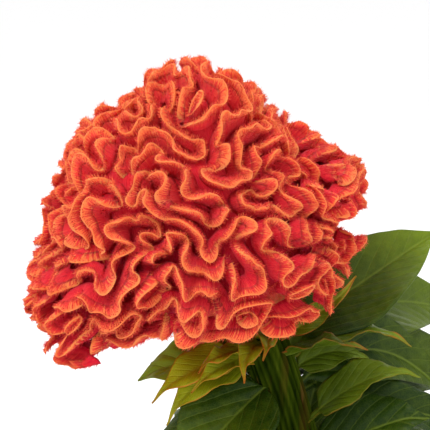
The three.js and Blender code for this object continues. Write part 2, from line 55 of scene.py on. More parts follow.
def makePiece(name, points, faces, material, slot, replaces=(), tones=None, uv=None, smooth=True):
    # points: n x 3 in mm; faces: m x 3 or m x 4; tones: n x 3 point attribute; uv: one pair per corner
    points = np.asarray(points, float).reshape(-1, 3)
    faces = np.asarray(faces, np.int32)
    mesh = bpy.data.meshes.new(name)
    mesh.vertices.add(len(points))
    mesh.vertices.foreach_set("co", (points * toMetres).astype(np.float32).ravel())
    mesh.loops.add(faces.size)
    mesh.loops.foreach_set("vertex_index", faces.ravel())
    mesh.polygons.add(len(faces))
    mesh.polygons.foreach_set("loop_start", np.arange(0, faces.size, faces.shape[1], dtype=np.int32))
    mesh.polygons.foreach_set("use_smooth", np.full(len(faces), smooth))
    if uv is not None:
        mesh.uv_layers.new(name="place").data.foreach_set("uv", np.asarray(uv, np.float32).ravel())
    if tones is not None:
        layer = mesh.attributes.new("tone", "FLOAT_VECTOR", "POINT")
        layer.data.foreach_set("vector", np.asarray(tones, np.float32).ravel())
    mesh.update(calc_edges=True)
    mesh.validate()
    mesh.materials.append(material)
    piece = newObject(name, mesh)
    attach(piece, "root")
    if replaces:
        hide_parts(*replaces)
    return piece


def gridFaces(rows, columns, closeRows=False, closeColumns=False):
    # Quads between neighbouring rows and columns of a grid, and each corner's place on it (column, row)
    r = np.arange(rows if closeRows else rows - 1)
    c = np.arange(columns if closeColumns else columns - 1)
    r, c = (a.ravel() for a in np.meshgrid(r, c, indexing="ij"))
    cornerRows = np.stack([r, r, r + 1, r + 1], 1)
    cornerColumns = np.stack([c, c + 1, c + 1, c], 1)
    faces = (cornerRows % rows) * columns + cornerColumns % columns
    return faces, np.stack([cornerColumns, cornerRows], 2).reshape(-1, 2).astype(float)


def smoothStep(value, low, high):
    # 0 below low, 1 above high, and a smooth cubic between
    t = np.clip((value - low) / (high - low), 0, 1)
    return t * t * (3 - 2 * t)


def between(limits, share):
    return limits[0] + (limits[1] - limits[0]) * share


def fullTurn(count):
    # Angles of count even steps round a circle
    return 2 * np.pi * np.arange(count) / count


# Shader nodes: put gives a node's outputs, and the helpers below it find the tree from their sockets

def feed(sockets, values):
    for key, value in values.items():
        if isinstance(value, bpy.types.NodeSocket):
            value.id_data.links.new(value, sockets[key])
        else:
            sockets[key].default_value = value


def put(tree, kind, values=None, **settings):
    node = tree.nodes.new(kind)
    for key, value in settings.items():
        setattr(node, key, value)
    feed(node.inputs, values or {})
    return node.outputs


def treeOf(*values):
    return next(value.id_data for value in values if isinstance(value, bpy.types.NodeSocket))


def math(operation, *values):
    return put(treeOf(*values), "ShaderNodeMath", dict(enumerate(values)), operation=operation)[0]


def times(a, b):
    return math("MULTIPLY", a, b)


def plus(a, b):
    return math("ADD", a, b)


def spread(value, low, high, first=0.0, last=1.0):
    # From first at low to last at high, and level beyond them
    limits = {"Value": value, "From Min": low, "From Max": high, "To Min": first, "To Max": last}
    return put(value.id_data, "ShaderNodeMapRange", limits)[0]


def noise(place, scale, detail, distortion=0.0):
    values = {"Vector": place, "Scale": scale, "Detail": detail, "Distortion": distortion}
    return put(place.id_data, "ShaderNodeTexNoise", values)[0]


def scaled(place, scale):
    return put(place.id_data, "ShaderNodeMapping", {"Vector": place, "Scale": scale})[0]


def bumped(height, distance, strength):
    values = {"Height": height, "Distance": distance, "Strength": strength}
    return put(height.id_data, "ShaderNodeBump", values)[0]


def mixColour(factor, a, b):
    a, b = ((*colour, 1) if isinstance(colour, tuple) else colour for colour in (a, b))
    return put(treeOf(factor, a, b), "ShaderNodeMix", {0: factor, 6: a, 7: b}, data_type="RGBA")[2]


def ramp(factor, stops):
    tree = factor.id_data
    node = tree.nodes.new("ShaderNodeValToRGB")
    feed(node.inputs, {"Fac": factor})
    elements = node.color_ramp.elements
    for k, (place, colour) in enumerate(stops):
        element = elements[k] if k < 2 else elements.new(place)
        element.position, element.color = place, (*colour, 1)
    return node.outputs[0]


def pointTones(tree):
    tone = put(tree, "ShaderNodeAttribute", attribute_name="tone")["Vector"]
    return put(tree, "ShaderNodeSeparateXYZ", {0: tone})


def surfacePlace(tree):
    return put(tree, "ShaderNodeUVMap", uv_map="place")[0]


def makeMaterial(name, plain, paint=None, *details):
    # Plain values sit on the shader's own sockets; paint works out the values that change over the surface
    material = bpy.data.materials.new(name)
    material.use_nodes = True
    tree = material.node_tree
    shader = tree.nodes["Principled BSDF"]
    feed(shader.inputs, plain)
    if paint:
        feed(shader.inputs, paint(tree, put(tree, "ShaderNodeTexCoord")["Object"], *details))
    return material


def newGroup(name, inputs, outputs):
    group = bpy.data.node_groups.new(name, "ShaderNodeTree")
    for way, labels in (("INPUT", inputs), ("OUTPUT", outputs)):
        for label in labels:
            kind = "NodeSocketVector" if label == "Vector" else "NodeSocketFloat"
            group.interface.new_socket(label, in_out=way, socket_type=kind)
    given = group.nodes.new("NodeGroupInput").outputs[: len(inputs)]
    return group, given, group.nodes.new("NodeGroupOutput").inputs


def makeMottleGroup():
    # Cloudy changes of tone over the piece: a coarse and a fine noise, added up round zero
    group, (place, coarse, fine), result = newGroup("mottle", ("Vector", "Coarse", "Fine"), ("Value",))
    both = plus(noise(place, coarse, 2.0), times(noise(place, fine, 3.0), 0.5))
    feed(result, {0: math("SUBTRACT", both, 0.75)})
    return group


mottleGroup = makeMottleGroup()


def cloudy(place, coarse, fine):
    values = {"Vector": place, "Coarse": coarse, "Fine": fine}
    return put(place.id_data, "ShaderNodeGroup", values, node_tree=mottleGroup)[0]


print("shader groups ready")


# Flower head: the crest's line is grown on a shell, then carried on to finer ruffles

headShape = {
    "centre": (-57, -8, 270.7),  # mm
    "lean": (20, 8),  # to the left and forward, degrees
    "radii": (60, 75),  # of the crown and of the skirt below it
    "skirtFrom": 0.4,  # heights as shares of the radius
    "skirtTo": -0.25,
    "flat": 0.1,
    "rim": -0.42,
    # towards, start, over, change
    "rimChanges": [
        ((0.64, -0.77), 0.6, 0.4, -0.34),
        ((-0.98, -0.2), 0.7, 0.3, -0.16),
        ((1, 0), 0.8, 0.2, 0.1),
    ],
    "lumps": {"count": 22, "height": 4, "spread": 0.07, "reach": 1.5, "shift": 0.9},
    # direction, height in mm and spread of each swell on the shell that the crest grows on
    "swells": [
        ((0.3, -0.2, 0.93), 8, 0.1),
        ((-0.95, -0.1, -0.3), 10, 0.22),
        ((0.96, -0.1, -0.2), 3, 0.1),
        ((0.95, -0.2, 0.3), -5, 0.05),
    ],
    # the same for the changes made to the grown crest
    "changes": [
        ((0.93, -0.15, -0.35), -8, 0.12),
        ((-0.8, -0.42, -0.43), 11, 0.05),
        ((-0.48, -0.79, -0.39), -8, 0.05),
        ((-0.35, -0.3, 0.88), 3, 0.04),
        ((0.55, -0.3, 0.78), 4, 0.04),
        ((-0.9, -0.2, -0.38), -10, 0.12),
        ((-0.82, -0.3, -0.48), -10, 0.035),
        ((-0.9, 0, 0.15), -2, 0.15),
    ],
    "seed": 41,
}

crestGrowth = {
    "startPolar": 1.15,  # radians
    "startWaves": [(3, 0.5, 1), (5, 0.26, 1), (8, 0.1, 0)],  # waves, size, quarter turns
    "startSways": [(2, 0.16), (4, 0.12)],
    "startPoints": 144,
    "doublings": 3,
    "rounds": 120,  # after each doubling, and again to settle
    "spacing": 4.3,  # mm between points
    "apart": (12.5, 8.8),  # mm between strands, from first to last round
    "spring": 0.22,
    "smooth": 0.28,
    "push": 0.6,
    "uneven": 0.5,  # how much faster some points grow, and how much of that a new point inherits or draws
    "inherited": 0.7,
    "renewed": 0.5,
    "settleGrowth": 0.12,
    "settleSpeed": 1.3,
    "longestMove": 1,
    "listRounds": 4,  # rounds between two lists of near pairs
    "fineRounds": 110,
    "fineSpacing": (1.9, 3.3),
    "fineApart": (8.8, 5.6),
    "fineSpeed": 1.3,
}


def randomSource(seed):
    state = [seed]

    def draw():
        state[0] = state[0] * 16807 % 2147483647
        return state[0] / 2147483647

    return draw


def rounded(value):
    return np.floor(value * 1e6 + 0.5) / 1e6


def length(p):
    return np.sqrt(p[..., 0] * p[..., 0] + p[..., 1] * p[..., 1] + p[..., 2] * p[..., 2])


def unit(p):
    return p / length(p)[..., None]


def makePlaces(rows):
    return [(unit(np.array(at, float)), height, wide) for at, height, wide in rows]


def lumpRows():
    # Low lumps spread over the crown along a spiral of golden angles
    lumps = headShape["lumps"]
    draw = randomSource(headShape["seed"])
    rows = []
    for i in range(lumps["count"]):
        up = rounded(1 - (lumps["reach"] * (i + 0.5)) / lumps["count"])
        turn = 2.399963 * i + lumps["shift"] * draw()
        flat = np.sqrt(1 - up * up)
        at = (rounded(flat * np.cos(turn)), rounded(flat * np.sin(turn)), up)
        rows.append((at, lumps["height"], lumps["spread"]))
    return rows


swellPlaces = makePlaces(headShape["swells"] + lumpRows())
changePlaces = makePlaces(headShape["changes"])


def addedHeight(places, d):
    # Each swell adds height n^2 (3 - 2 n), where n runs from 0 at its rim to 1 in its middle
    total = np.zeros(d.shape[:-1])
    for at, height, wide in places:
        near = (d[..., 0] * at[0] + d[..., 1] * at[1] + d[..., 2] * at[2] - (1 - wide)) / wide
        total = total + np.where(near > 0, height * near * near * (3 - 2 * near), 0)
    return total


def shellRadius(d):
    # Radius of the head in direction d: the crown's, then the skirt's lower down, with swells and lumps
    h = headShape
    low = np.clip((h["skirtFrom"] - d[..., 2]) / (h["skirtFrom"] - h["skirtTo"]), 0, 1)
    top, skirt = h["radii"]
    radius = top + (skirt - top) * low * low * (3 - 2 * low)
    return radius * (1 - h["flat"] * d[..., 1] * d[..., 1]) + addedHeight(swellPlaces, d)


# Notch that parts the right lobes: a plane through the head, and how far to the right it is cut open, mm
notch = {
    "normal": (0.228, 0.316, 0.921),
    "offset": -9.0,
    "toRight": (0.974, 0.015, -0.246),
    "from": 58.0,
    "half": (1.8, 5.0),
}


def finalRadius(d):
    # The shell's radius with its changes, less the notch: cut (1 - smoothStep) near the notch's plane
    radius = shellRadius(d) + addedHeight(changePlaces, d)
    level = np.abs(radius * (d @ np.array(notch["normal"])) - notch["offset"])
    right = radius * (d @ np.array(notch["toRight"]))
    cut = 1 - notch["from"] / np.maximum(right, notch["from"])
    return radius * (1 - cut * (1 - smoothStep(level, *notch["half"])))


def sideChanges(value, d, rows, most):
    # Each row changes the value towards one side of the head, from a start on and by the change per over
    for toward, start, over, change in rows:
        near = (d[..., 0] * toward[0] + d[..., 1] * toward[1] - start) / over
        value = value + change * np.clip(near, 0, most)
    return value


def rimLimit(d):
    return sideChanges(headShape["rim"], d, headShape["rimChanges"], np.inf)


def nearPairs(line, loopOf, reach, skip):
    # Pairs nearer than reach that are on two loops, or at least skip points apart along one
    count, block = len(line), 512
    flat = line.astype(np.float32)
    square = (flat**2).sum(1)
    later = np.arange(count)[None, :]
    loopSize = np.bincount(loopOf)[loopOf]
    first, second = [], []
    for low in range(0, count, block):
        part = flat[low : low + block]
        gap = later - np.arange(low, low + len(part))[:, None]
        near = square[low : low + block, None] + square[None] - 2 * part @ flat.T < reach * reach
        a, b = np.nonzero(near & (gap > 0))
        a = a + low
        keep = (loopOf[a] != loopOf[b]) | ((b - a >= skip) & (loopSize[a] - (b - a) >= skip))
        first.append(a[keep])
        second.append(b[keep])
    return np.concatenate(first), np.concatenate(second)


def shoved(line, move, force, pairs, longest, limitOf):
    # The line after each pair's force and the move, no point going further than the longest; points below
    # the rim's limit are lifted half of the way, and all go back to the shell
    first, second = pairs
    where = np.concatenate([second, first])
    shove = [np.bincount(where, np.concatenate([f, -f]), len(line)) for f in force.T]
    total = move + np.stack(shove, 1)
    far = length(total)
    share = np.where(far > longest, longest / far, 1)
    at = unit(line + share[:, None] * total)
    limit = limitOf(at)
    lifted = np.stack([at[:, 0], at[:, 1], at[:, 2] + 0.5 * (limit - at[:, 2])], 1)
    at = np.where((at[:, 2] < limit)[:, None], unit(lifted), at)
    return at * shellRadius(at)[:, None]


def growRound(line, growth, spacing, apart, pairs):
    # Springs hold neighbours at their spacing, and strands nearer than apart push each other off
    g = crestGrowth
    before, after = np.roll(line, 1, 0), np.roll(line, -1, 0)
    move = 0
    for other, wanted in ((before, spacing * np.roll(growth, 1)), (after, spacing * growth)):
        d = other - line
        distance = length(d) + 1e-9
        move = move + ((g["spring"] * (distance - wanted)) / distance)[:, None] * d
    move = move + g["smooth"] * ((before + after) / 2 - line)
    first, second = pairs
    d = line[second] - line[first]
    square = d[:, 0] * d[:, 0] + d[:, 1] * d[:, 1] + d[:, 2] * d[:, 2]
    near = square < apart * apart
    first, second, d, square = first[near], second[near], d[near], square[near]
    distance = np.sqrt(square) + 1e-9
    force = (((1 - distance / apart) / distance) * ((g["push"] * spacing) / 4))[:, None] * d
    return shoved(line, move, force, (first, second), g["longestMove"], rimLimit)


def growThrough(line, growth, steps):
    rounds = crestGrowth["listRounds"]
    for k, (spacing, apart) in enumerate(steps):
        if k % rounds == 0:
            reach = apart + 2 * rounds * crestGrowth["longestMove"]
            pairs = nearPairs(line, np.zeros(len(line), int), reach, 2)
        line = growRound(line, growth, spacing, apart, pairs)
    return line


def splitLine(line, growth, draw):
    # A new point halfway between each two, with a growth partly inherited and partly drawn
    g = crestGrowth
    longer = np.empty((2 * len(line), 3))
    longer[0::2] = line
    longer[1::2] = (line + np.roll(line, -1, 0)) / 2
    mean = 0.5 * (growth + np.roll(growth, -1)) - 1
    drawn = g["uneven"] * g["renewed"] * (np.array([draw() for _ in line]) * 2 - 1)
    growths = np.empty(len(longer))
    growths[0::2] = growth
    growths[1::2] = rounded(1 + g["inherited"] * mean + drawn)
    return longer, growths


def growCrest():
    # A waved ring on the shell grows longer and doubles its points until folds fill the shell
    g = crestGrowth
    draw = randomSource(headShape["seed"])
    wavePhases = [draw() * 6.283 for _ in g["startWaves"]]
    swayPhases = [draw() * 6.283 for _ in g["startSways"]]
    count = g["startPoints"]
    f = fullTurn(count)
    polar = np.full(count, g["startPolar"])
    for (waves, size, quarters), phase in zip(g["startWaves"], wavePhases):
        polar = polar + size * np.sin(waves * f + phase + (quarters * np.pi) / 2)
    turn = f
    for (waves, size), phase in zip(g["startSways"], swayPhases):
        turn = turn + size * np.sin(waves * f + phase)
    flat = np.sin(polar)
    at = unit(rounded(np.stack([flat * np.cos(turn), flat * np.sin(turn), np.cos(polar)], 1)))
    line = at * shellRadius(at)[:, None]
    growth = rounded(1 + g["uneven"] * (np.array([draw() for _ in range(count)]) * 2 - 1))
    rounds = g["rounds"]
    for doubling in range(g["doublings"] + 1):
        steps = [(g["spacing"] * (0.5 + (0.5 * i) / rounds), g["apart"][0]) for i in range(1, rounds + 1)]
        line = growThrough(line, growth, steps)
        if doubling < g["doublings"]:
            line, growth = splitLine(line, growth, draw)
    steps = []
    for i in range(1, rounds + 1):
        share = i / rounds
        apart = between(g["apart"], min(1, share * g["settleSpeed"]))
        steps.append((g["spacing"] * (1 + g["settleGrowth"] * share), apart))
    line = growThrough(line, growth, steps)
    line, growth = splitLine(line, growth, draw)
    shares = np.arange(1, g["fineRounds"] + 1) / g["fineRounds"]
    near = np.minimum(1, g["fineSpeed"] * shares)
    steps = zip(between(g["fineSpacing"], shares), between(g["fineApart"], near))
    return growThrough(line, growth, steps)


def headAxes():
    # Rows are the head's own right, back and up, leaned to the left and forward
    left, forward = np.radians(headShape["lean"])
    up = np.array([-np.sin(left) * np.cos(forward), -np.sin(forward), np.cos(left) * np.cos(forward)])
    right = np.array([1.0, 0, 0]) - up * up[0]
    right /= np.sqrt(right @ right)
    return np.stack([right, np.cross(up, right), up])


headTurn = headAxes()


def fromHead(p):
    return np.asarray(p) @ headTurn + np.array(headShape["centre"])


crestLine = growCrest()
print("crest grown:", len(crestLine), "points")

refining = {
    "rounds": 200,
    "spacing": (1.3, 2.1),  # mm between points, from first to last round
    "apart": (5.8, 4.9),
    "apartChange": 0.22,  # share by which the distance apart changes from place to place
    "sizes": [(-0.6, 1.2), (-0.1, 1.2), (0.35, 1.05), (0.8, 0.85)],  # height on the head, size of its lobes
    "apartWave": 38,
    "spring": 0.45,
    "smooth": 0.14,
    "hurry": 1.3,  # the strands come near sooner than the points are spread
    "stiff": 0.5,
    "push": 0.4,
    "skip": 5,  # points nearer than this along the line don't push each other
    "longestMove": 0.45,
    "listRounds": 8,
    "fillRound": 88,
    "kick": 0.9,
    "kickWave": 9,
}

filling = {
    "samples": 9000,
    "rimRaise": 0.06,
    # towards, start, over, change: the rim drops at the front
    "hang": [((0.85, -0.5), 0.55, 0.3, -0.22), ((-0.55, -0.83), 0.75, 0.15, -0.12)],
    "rimShare": 0.14,
    "least": (6.6, 5.2),  # mm from the line at which a place counts as a gap, at the start and at fillRound
    "margin": (4.5, 2.7),
    "largest": 8.0,  # radius of a ring, mm
}


def lineLength(line):
    return float(length(np.roll(line, -1, 0) - line).sum())


def waveNoise(line, columns, wave, rng):
    # Smooth random numbers along the closed line, with unit spread and about the wanted wavelength in mm
    order = np.arange(columns // 2 + 1)
    middle = lineLength(line) / wave
    weight = np.exp(-0.5 * ((order - middle) / (0.35 * middle)) ** 2)
    terms = weight * np.exp(2j * np.pi * rng.random(len(order)))
    terms[0] = 0
    values = np.fft.irfft(terms, columns)
    return values / values.std()


def placeNoise(p, wave, seed):
    # Sum of nine plane waves in random directions, with about unit spread
    rng = np.random.default_rng(seed)
    ways = unit(rng.normal(0, 1, (9, 3)))
    return np.sin(p @ ways.T * (2 * np.pi / wave) + rng.random(9) * 2 * np.pi).sum(-1) / np.sqrt(4.5)


def lowerLimit(d, raised=filling["rimRaise"]):
    # The rim's limit with its drop at the front
    return rimLimit(d) + raised + sideChanges(0.0, d, filling["hang"], 1)


def gapLoops(line, late):
    # Small side crests: a ring in each place above the rim that the line leaves empty
    f = filling
    order = np.arange(f["samples"]) + 0.5
    up = 1 - 2 * order / f["samples"]
    turn = order * np.pi * (3 - 5**0.5)
    flat = np.sqrt(1 - up * up)
    at = np.stack([flat * np.cos(turn), flat * np.sin(turn), up], 1)
    at = at[at[:, 2] > lowerLimit(at, f["rimShare"])]
    place = at * shellRadius(at)[:, None]
    distance = np.full(len(place), 1e9)
    for low in range(0, len(place), 512):
        part = place[low : low + 512]
        distance[low : low + 512] = length(part[:, None] - line[None]).min(1)
    loops = []
    while distance.max() > f["least"][late]:
        k = int(distance.argmax())
        radius = min(distance[k] - f["margin"][late], f["largest"])
        sideways = unit(np.cross(at[k], [0.3, 0.4, 1.0]))
        points = int(2 * np.pi * radius / refining["spacing"][0])
        turn = fullTurn(points)[:, None]
        circle = np.cos(turn) * sideways + np.sin(turn) * np.cross(at[k], sideways)
        ring = unit(place[k] + radius * circle)
        loops.append(ring * shellRadius(ring)[:, None])
        distance = np.minimum(distance, np.maximum(length(place - place[k]) - radius, 0))
    return loops


def refineCrest(line):
    # Twice the points and a ring in each gap, then softer rounds that fold them all into round loops
    r = refining
    line = splitLine(line, np.ones(len(line)), lambda: 0.5)[0]
    at = unit(line)
    side = unit(np.cross(at, np.roll(line, -1, 0) - np.roll(line, 1, 0)))
    kick = waveNoise(line, len(line), r["kickWave"], np.random.default_rng(1))
    loops = [line + side * (r["kick"] * kick)[:, None]] + gapLoops(line, 0)
    for k in range(r["rounds"]):
        if k == r["fillRound"]:
            loops = np.split(line, ends[:-1]) + gapLoops(line, 1)
        if k in (0, r["fillRound"]):
            ends = np.cumsum([len(loop) for loop in loops])
            loopOf = np.repeat(np.arange(len(loops)), [len(loop) for loop in loops])
            line = np.concatenate(loops)
            previous, following = np.arange(len(line)) - 1, np.arange(len(line)) + 1
            previous[np.append(0, ends[:-1])] = ends - 1
            following[ends - 1] = np.append(0, ends[:-1])
        share = (k + 1) / r["rounds"]
        spacing, apart = between(r["spacing"], share), between(r["apart"], min(1, r["hurry"] * share))
        if k % r["listRounds"] == 0:
            size = np.interp(unit(line)[:, 2], *np.array(r["sizes"]).T)
            reach = r["apart"][0] * (1 + r["apartChange"]) * size.max() + 3.0
            first, second = nearPairs(line, loopOf, reach, r["skip"])
            patches = np.clip(placeNoise(line, r["apartWave"], 2) / 1.4, -1, 1)
            local = size * (1 + r["apartChange"] * patches)
            local = 0.5 * (local[first] + local[second])
            less = (np.minimum(1, 1.1 / size) ** share)[:, None]
        before, after = line[previous] - line, line[following] - line
        backward, forward = (length(d)[:, None] + 1e-9 for d in (before, after))
        pull = (1 - less * spacing / backward) * before + (1 - less * spacing / forward) * after
        bend = (before + after) / 2
        stiff = r["stiff"] * ((bend[previous] + bend[following]) / 2 - bend)
        move = r["spring"] * pull + r["smooth"] * bend - stiff
        d = line[second] - line[first]
        distance = length(d) + 1e-9
        force = (r["push"] * np.maximum(1 - distance / (apart * local), 0) / distance)[:, None] * d
        line = shoved(line, move, force, (first, second), r["longestMove"], lowerLimit)
    return np.split(line, ends[:-1])


crestLoops = refineCrest(crestLine)
crestLength = sum(lineLength(loop) for loop in crestLoops)
print("crest refined:", len(crestLoops), "loops,", round(crestLength / 1000, 2), "m")

# Lip and folds: section of the folded sheet, as depth below the crest's edge and half thickness, mm
ruffle = {
    "lipColumns": 9500,
    "foldColumns": 5800,
    "lip": [(-0.3, 0.15), (0.1, 0.4), (0.6, 0.85), (1.6, 1.2), (3.2, 1.35)],
    "folds": [(1.6, 1.0), (3.2, 1.32), (5.0, 1.7), (7.0, 2.4), (9.0, 3.2)],
    "smooth": (1.3, 8.0),  # smoothing of the line at the edge and at the deepest row, mm
    "smoothPower": 0.55,
    "deepest": 10.0,
    "ruffleHeight": 2.6,
    "ruffleWave": 22.0,
    "lobeHeight": 2.0,
    "lobeWave": 32.0,
    "lean": 3.5,  # sideways lean of the edge that changes from place to place, mm
    "leanWave": 54.0,
    "leanDepth": 6.0,
    "highest": 3.8,
    "dip": 1.2,
    "inset": 1.2,  # the lips and bristles stand this far out again, mm
}


def smoothedLine(line, sigma, columns):
    # Gaussian smoothing of the closed line by its Fourier terms, sampled again at the wanted columns
    terms = np.fft.rfft(line, axis=0)
    order = np.arange(len(terms))
    terms = terms * np.exp(-0.5 * (2 * np.pi * order * sigma / lineLength(line)) ** 2)[:, None]
    padded = np.zeros((columns // 2 + 1, 3), complex)
    padded[: len(terms)] = terms
    return np.fft.irfft(padded, columns, axis=0) * columns / len(line)


def ruffleSheet(loop, number, depths, columns):
    # Middle surface of one folded loop: for each depth a row of points with sideways and outward directions
    r = ruffle
    samples = 4 * (len(loop) // 8)
    height = waveNoise(loop, samples, r["ruffleWave"], np.random.default_rng(number)) * r["ruffleHeight"]
    shares = np.arange(samples + 1) / samples
    height = np.interp(np.arange(columns) / columns, shares, np.append(height, height[0]))
    middles, dirs = [], []
    for depth in depths:
        share = max(depth / r["deepest"], 0) ** r["smoothPower"]
        line = smoothedLine(loop, between(r["smooth"], share), columns)
        at = unit(line)
        left = 1 - depth / r["deepest"]
        rise = height + r["lobeHeight"] * placeNoise(line, r["lobeWave"], 3)
        rise = np.where(rise > 0, r["highest"] * np.tanh(rise / r["highest"]), r["dip"] * rise) - r["inset"]
        push = np.stack([placeNoise(line, r["leanWave"], seed) for seed in (4, 5, 6)], 1)
        push = push - at * (push * at).sum(1)[:, None]
        lean = r["lean"] * np.exp(-depth / r["leanDepth"]) * np.clip(1.75 - 2 * at[:, 2:], 0.25, 1)
        middles.append(at * (finalRadius(at) - depth + rise * left)[:, None] + push * lean)
        dirs.append(at)
    middles, dirs = np.array(middles), np.array(dirs)
    along = unit(np.roll(middles, -1, 1) - np.roll(middles, 1, 1))
    return middles, unit(np.cross(dirs, along)), dirs


crestPalette = {
    "ridge": (0.98, 0.24, 0.075),
    "edge": (0.86, 0.085, 0.05),
    "flank": (0.8, 0.03, 0.042),
    "valley": (0.64, 0.002, 0.03),
    "down": (0.88, 0.07, 0.055),  # fine hair lying on the folds
    "hairTip": (0.95, 0.12, 0.07),
    "neck": (0.2, 0.2, 0.02),
    "paintedLightWay": (-0.25, -0.1, 1.0),  # painted light: the valleys are painted lighter this way, towards the crown and upper left where the lamps light the head
}


def paintCrest(tree, place, down):
    # tone x: depth below the crest's edge, cm; y: share along a bristle; z: share of the neck's green
    c = crestPalette
    depth, tip, neck = pointTones(tree)
    streak = noise(scaled(surfacePlace(tree), (1.7, 0.12, 1.0)), 1.0, 1.0)
    fine = noise(scaled(surfacePlace(tree), (5.5, 0.55, 1.0)), 1.0, 2.0)
    wide = spread(depth, 0.01, 0.08)
    change = plus(times(math("SUBTRACT", streak, 0.5), 1.5), times(cloudy(place, 45.0, 160.0), 0.25))
    # Painted light: on the lit side towards the crown the depth is scaled down, so the valleys there take
    # the lighter colours of the edge
    high = put(tree, "ShaderNodeVectorMath", {0: place, 1: c["paintedLightWay"]}, operation="DOT_PRODUCT")["Value"]
    level = times(plus(depth, times(change, wide)), spread(high, 0.265, 0.34, 1.0, 0.42))
    stops = zip((0.0, 0.01, 0.05, 0.25, 0.8), (c["ridge"], c["ridge"], c["edge"], c["flank"], c["valley"]))
    colour = mixColour(times(spread(fine, 0.48, 0.62, 0.0, down), wide), ramp(level, stops), c["down"])
    colour = mixColour(times(tip, 0.8), colour, c["hairTip"])
    colour = mixColour(neck, colour, c["neck"])
    return {"Base Color": colour, "Normal": bumped(plus(streak, times(fine, 0.9)), 0.0008, 0.8)}


crestFinish = {
    "Roughness": 0.85,
    "Specular IOR Level": 0.06,
    "Subsurface Weight": 0.5,
    "Subsurface Radius": (1.0, 0.12, 0.12),
    "Subsurface Scale": 0.003,
    "Sheen Weight": 0.25,
    "Sheen Roughness": 0.45,
    "Sheen Tint": (1.0, 0.22, 0.2, 1.0),
}
crestMaterial = makeMaterial("crest", crestFinish, paintCrest, 0.38)
bristleMaterial = makeMaterial("bristle", {**crestFinish, "Subsurface Weight": 0.0}, paintCrest, 0.0)


def makeRuffle(name, section, columns):
    # For each loop one closed ring of sections: down the right flank, then up the left
    depths, halves = np.array(section).T
    depthRows = np.concatenate([depths, depths[::-1]])
    sheets, points, faces, uvs, tones, start = [], [], [], [], [], 0
    for number, loop in enumerate(crestLoops):
        count = int(np.ceil(columns * lineLength(loop) / crestLength)) + 1
        sheet = ruffleSheet(loop, number, depths, max(count, len(loop) + 1))
        middles, side, dirs = sheet
        across = side * halves[:, None, None]
        rows = np.concatenate([middles + across, (middles - across)[::-1]])
        loopFaces, places = gridFaces(len(rows), rows.shape[1], closeRows=True, closeColumns=True)
        depthOfCorner = np.append(depthRows, depthRows[0])[places[:, 1].astype(int)]
        along = places[:, 0] * lineLength(loop) / rows.shape[1] + 97.3 * number
        uvs.append(np.stack([along, depthOfCorner], 1))
        tone = np.zeros(rows.shape)
        tone[..., 0] = depthRows[:, None] / 10
        sheets.append(sheet)
        points.append(rows.reshape(-1, 3))
        tones.append(tone.reshape(-1, 3))
        faces.append(loopFaces + start)
        start += len(points[-1])
    points, faces, tones, uvs = (np.concatenate(part) for part in (points, faces, tones, uvs))
    makePiece(name, fromHead(points), faces, crestMaterial, "crest", ["flower_head"], tones, uvs)
    print(name, 2 * len(faces), "triangles")
    return [np.concatenate(part, 1) for part in zip(*sheets)]


bristles = {
    "radius": 0.16,
    # name, part of the section, count, depths, lengths, lean to the edge, share of the tip's colour
    "rows": [
        ("edge", "lip", 27000, (0.0, 0.4), (1.0, 1.9), (0.1, 0.6), 1.0),
        ("flank", "lip", 42000, (0.4, 3.2), (1.3, 2.5), (0.7, 1.6), 0.6),
        ("deep", "folds", 24000, (1.6, 8.0), (1.5, 3.0), (1.0, 2.2), 0.35),
    ],
}


def placeBristles(name, base, way, long, along, depth, bright, rng):
    # Thin closed spikes with three sides: base and way are n x 3, long and depth one number each
    count = len(base)
    first = unit(np.cross(way, along + 0.01))
    second = np.cross(way, first)
    angles = np.arange(3) * 2 * np.pi / 3
    cosines, sines = np.cos(angles)[None, :, None], np.sin(angles)[None, :, None]
    ring = first[:, None] * cosines + second[:, None] * sines
    tips = (base + way * long[:, None])[:, None]
    points = np.concatenate([base[:, None] + ring * bristles["radius"], tips], 1)
    faces = np.arange(count)[:, None, None] * 4 + np.array([[0, 1, 3], [1, 2, 3], [2, 0, 3], [0, 2, 1]])
    tones = np.zeros((count, 4, 3))
    tones[..., 0] = depth[:, None] / 10
    tones[:, 3, 1] = bright * (0.5 + 0.5 * rng.random(count))
    uv = np.repeat(rng.random((count, 1, 2)) * 50, 12, 1)
    faces, tones, uv = faces.reshape(-1, 3), tones.reshape(-1, 3), uv.reshape(-1, 2)
    makePiece(name, points.reshape(-1, 3), faces, bristleMaterial, "crest", [], tones, uv)


def makeBristles(row, sheets, seed):
    # They lean from the section's normal (depth step across, thickness step outwards) towards the edge
    name, part, count, depthLimits, lengths, leans, bright = row
    middles, side, dirs = sheets[part]
    rng = np.random.default_rng(seed)
    depths, halves = np.array(ruffle[part]).T
    column = rng.integers(0, middles.shape[1], count)
    depth = between(depthLimits, rng.random(count))
    row = np.clip(np.searchsorted(depths, depth) - 1, 0, len(depths) - 2)
    share = ((depth - depths[row]) / (depths[row + 1] - depths[row]))[:, None]

    def here(values):
        return values[row, column] * (1 - share) + values[row + 1, column] * share

    middle, across, outward = here(middles), unit(here(side)), unit(here(dirs))
    across = across * np.where(rng.random(count) < 0.5, 1.0, -1.0)[:, None]
    rise = unit(middles[row, column] - middles[row + 1, column])
    half = (halves[row] * (1 - share[:, 0]) + halves[row + 1] * share[:, 0])[:, None]
    along = np.cross(outward, across)
    step, swell = depths[row + 1] - depths[row], halves[row + 1] - halves[row]
    normal = unit(across * step[:, None] + rise * swell[:, None])
    tilt = rng.normal(0, 0.2, (count, 2))
    lean = between(leans, rng.random((count, 1)))
    way = unit(normal + rise * lean + along * tilt[:, :1] + across * tilt[:, 1:] * 0.5)
    base = fromHead(middle + across * (half - 0.12))
    long, depth = between(lengths, rng.random(count)), np.maximum(depth, 1.0)
    name = "crest_bristles_" + name
    placeBristles(name, base, way @ headTurn, long, along @ headTurn, depth, bright, rng)


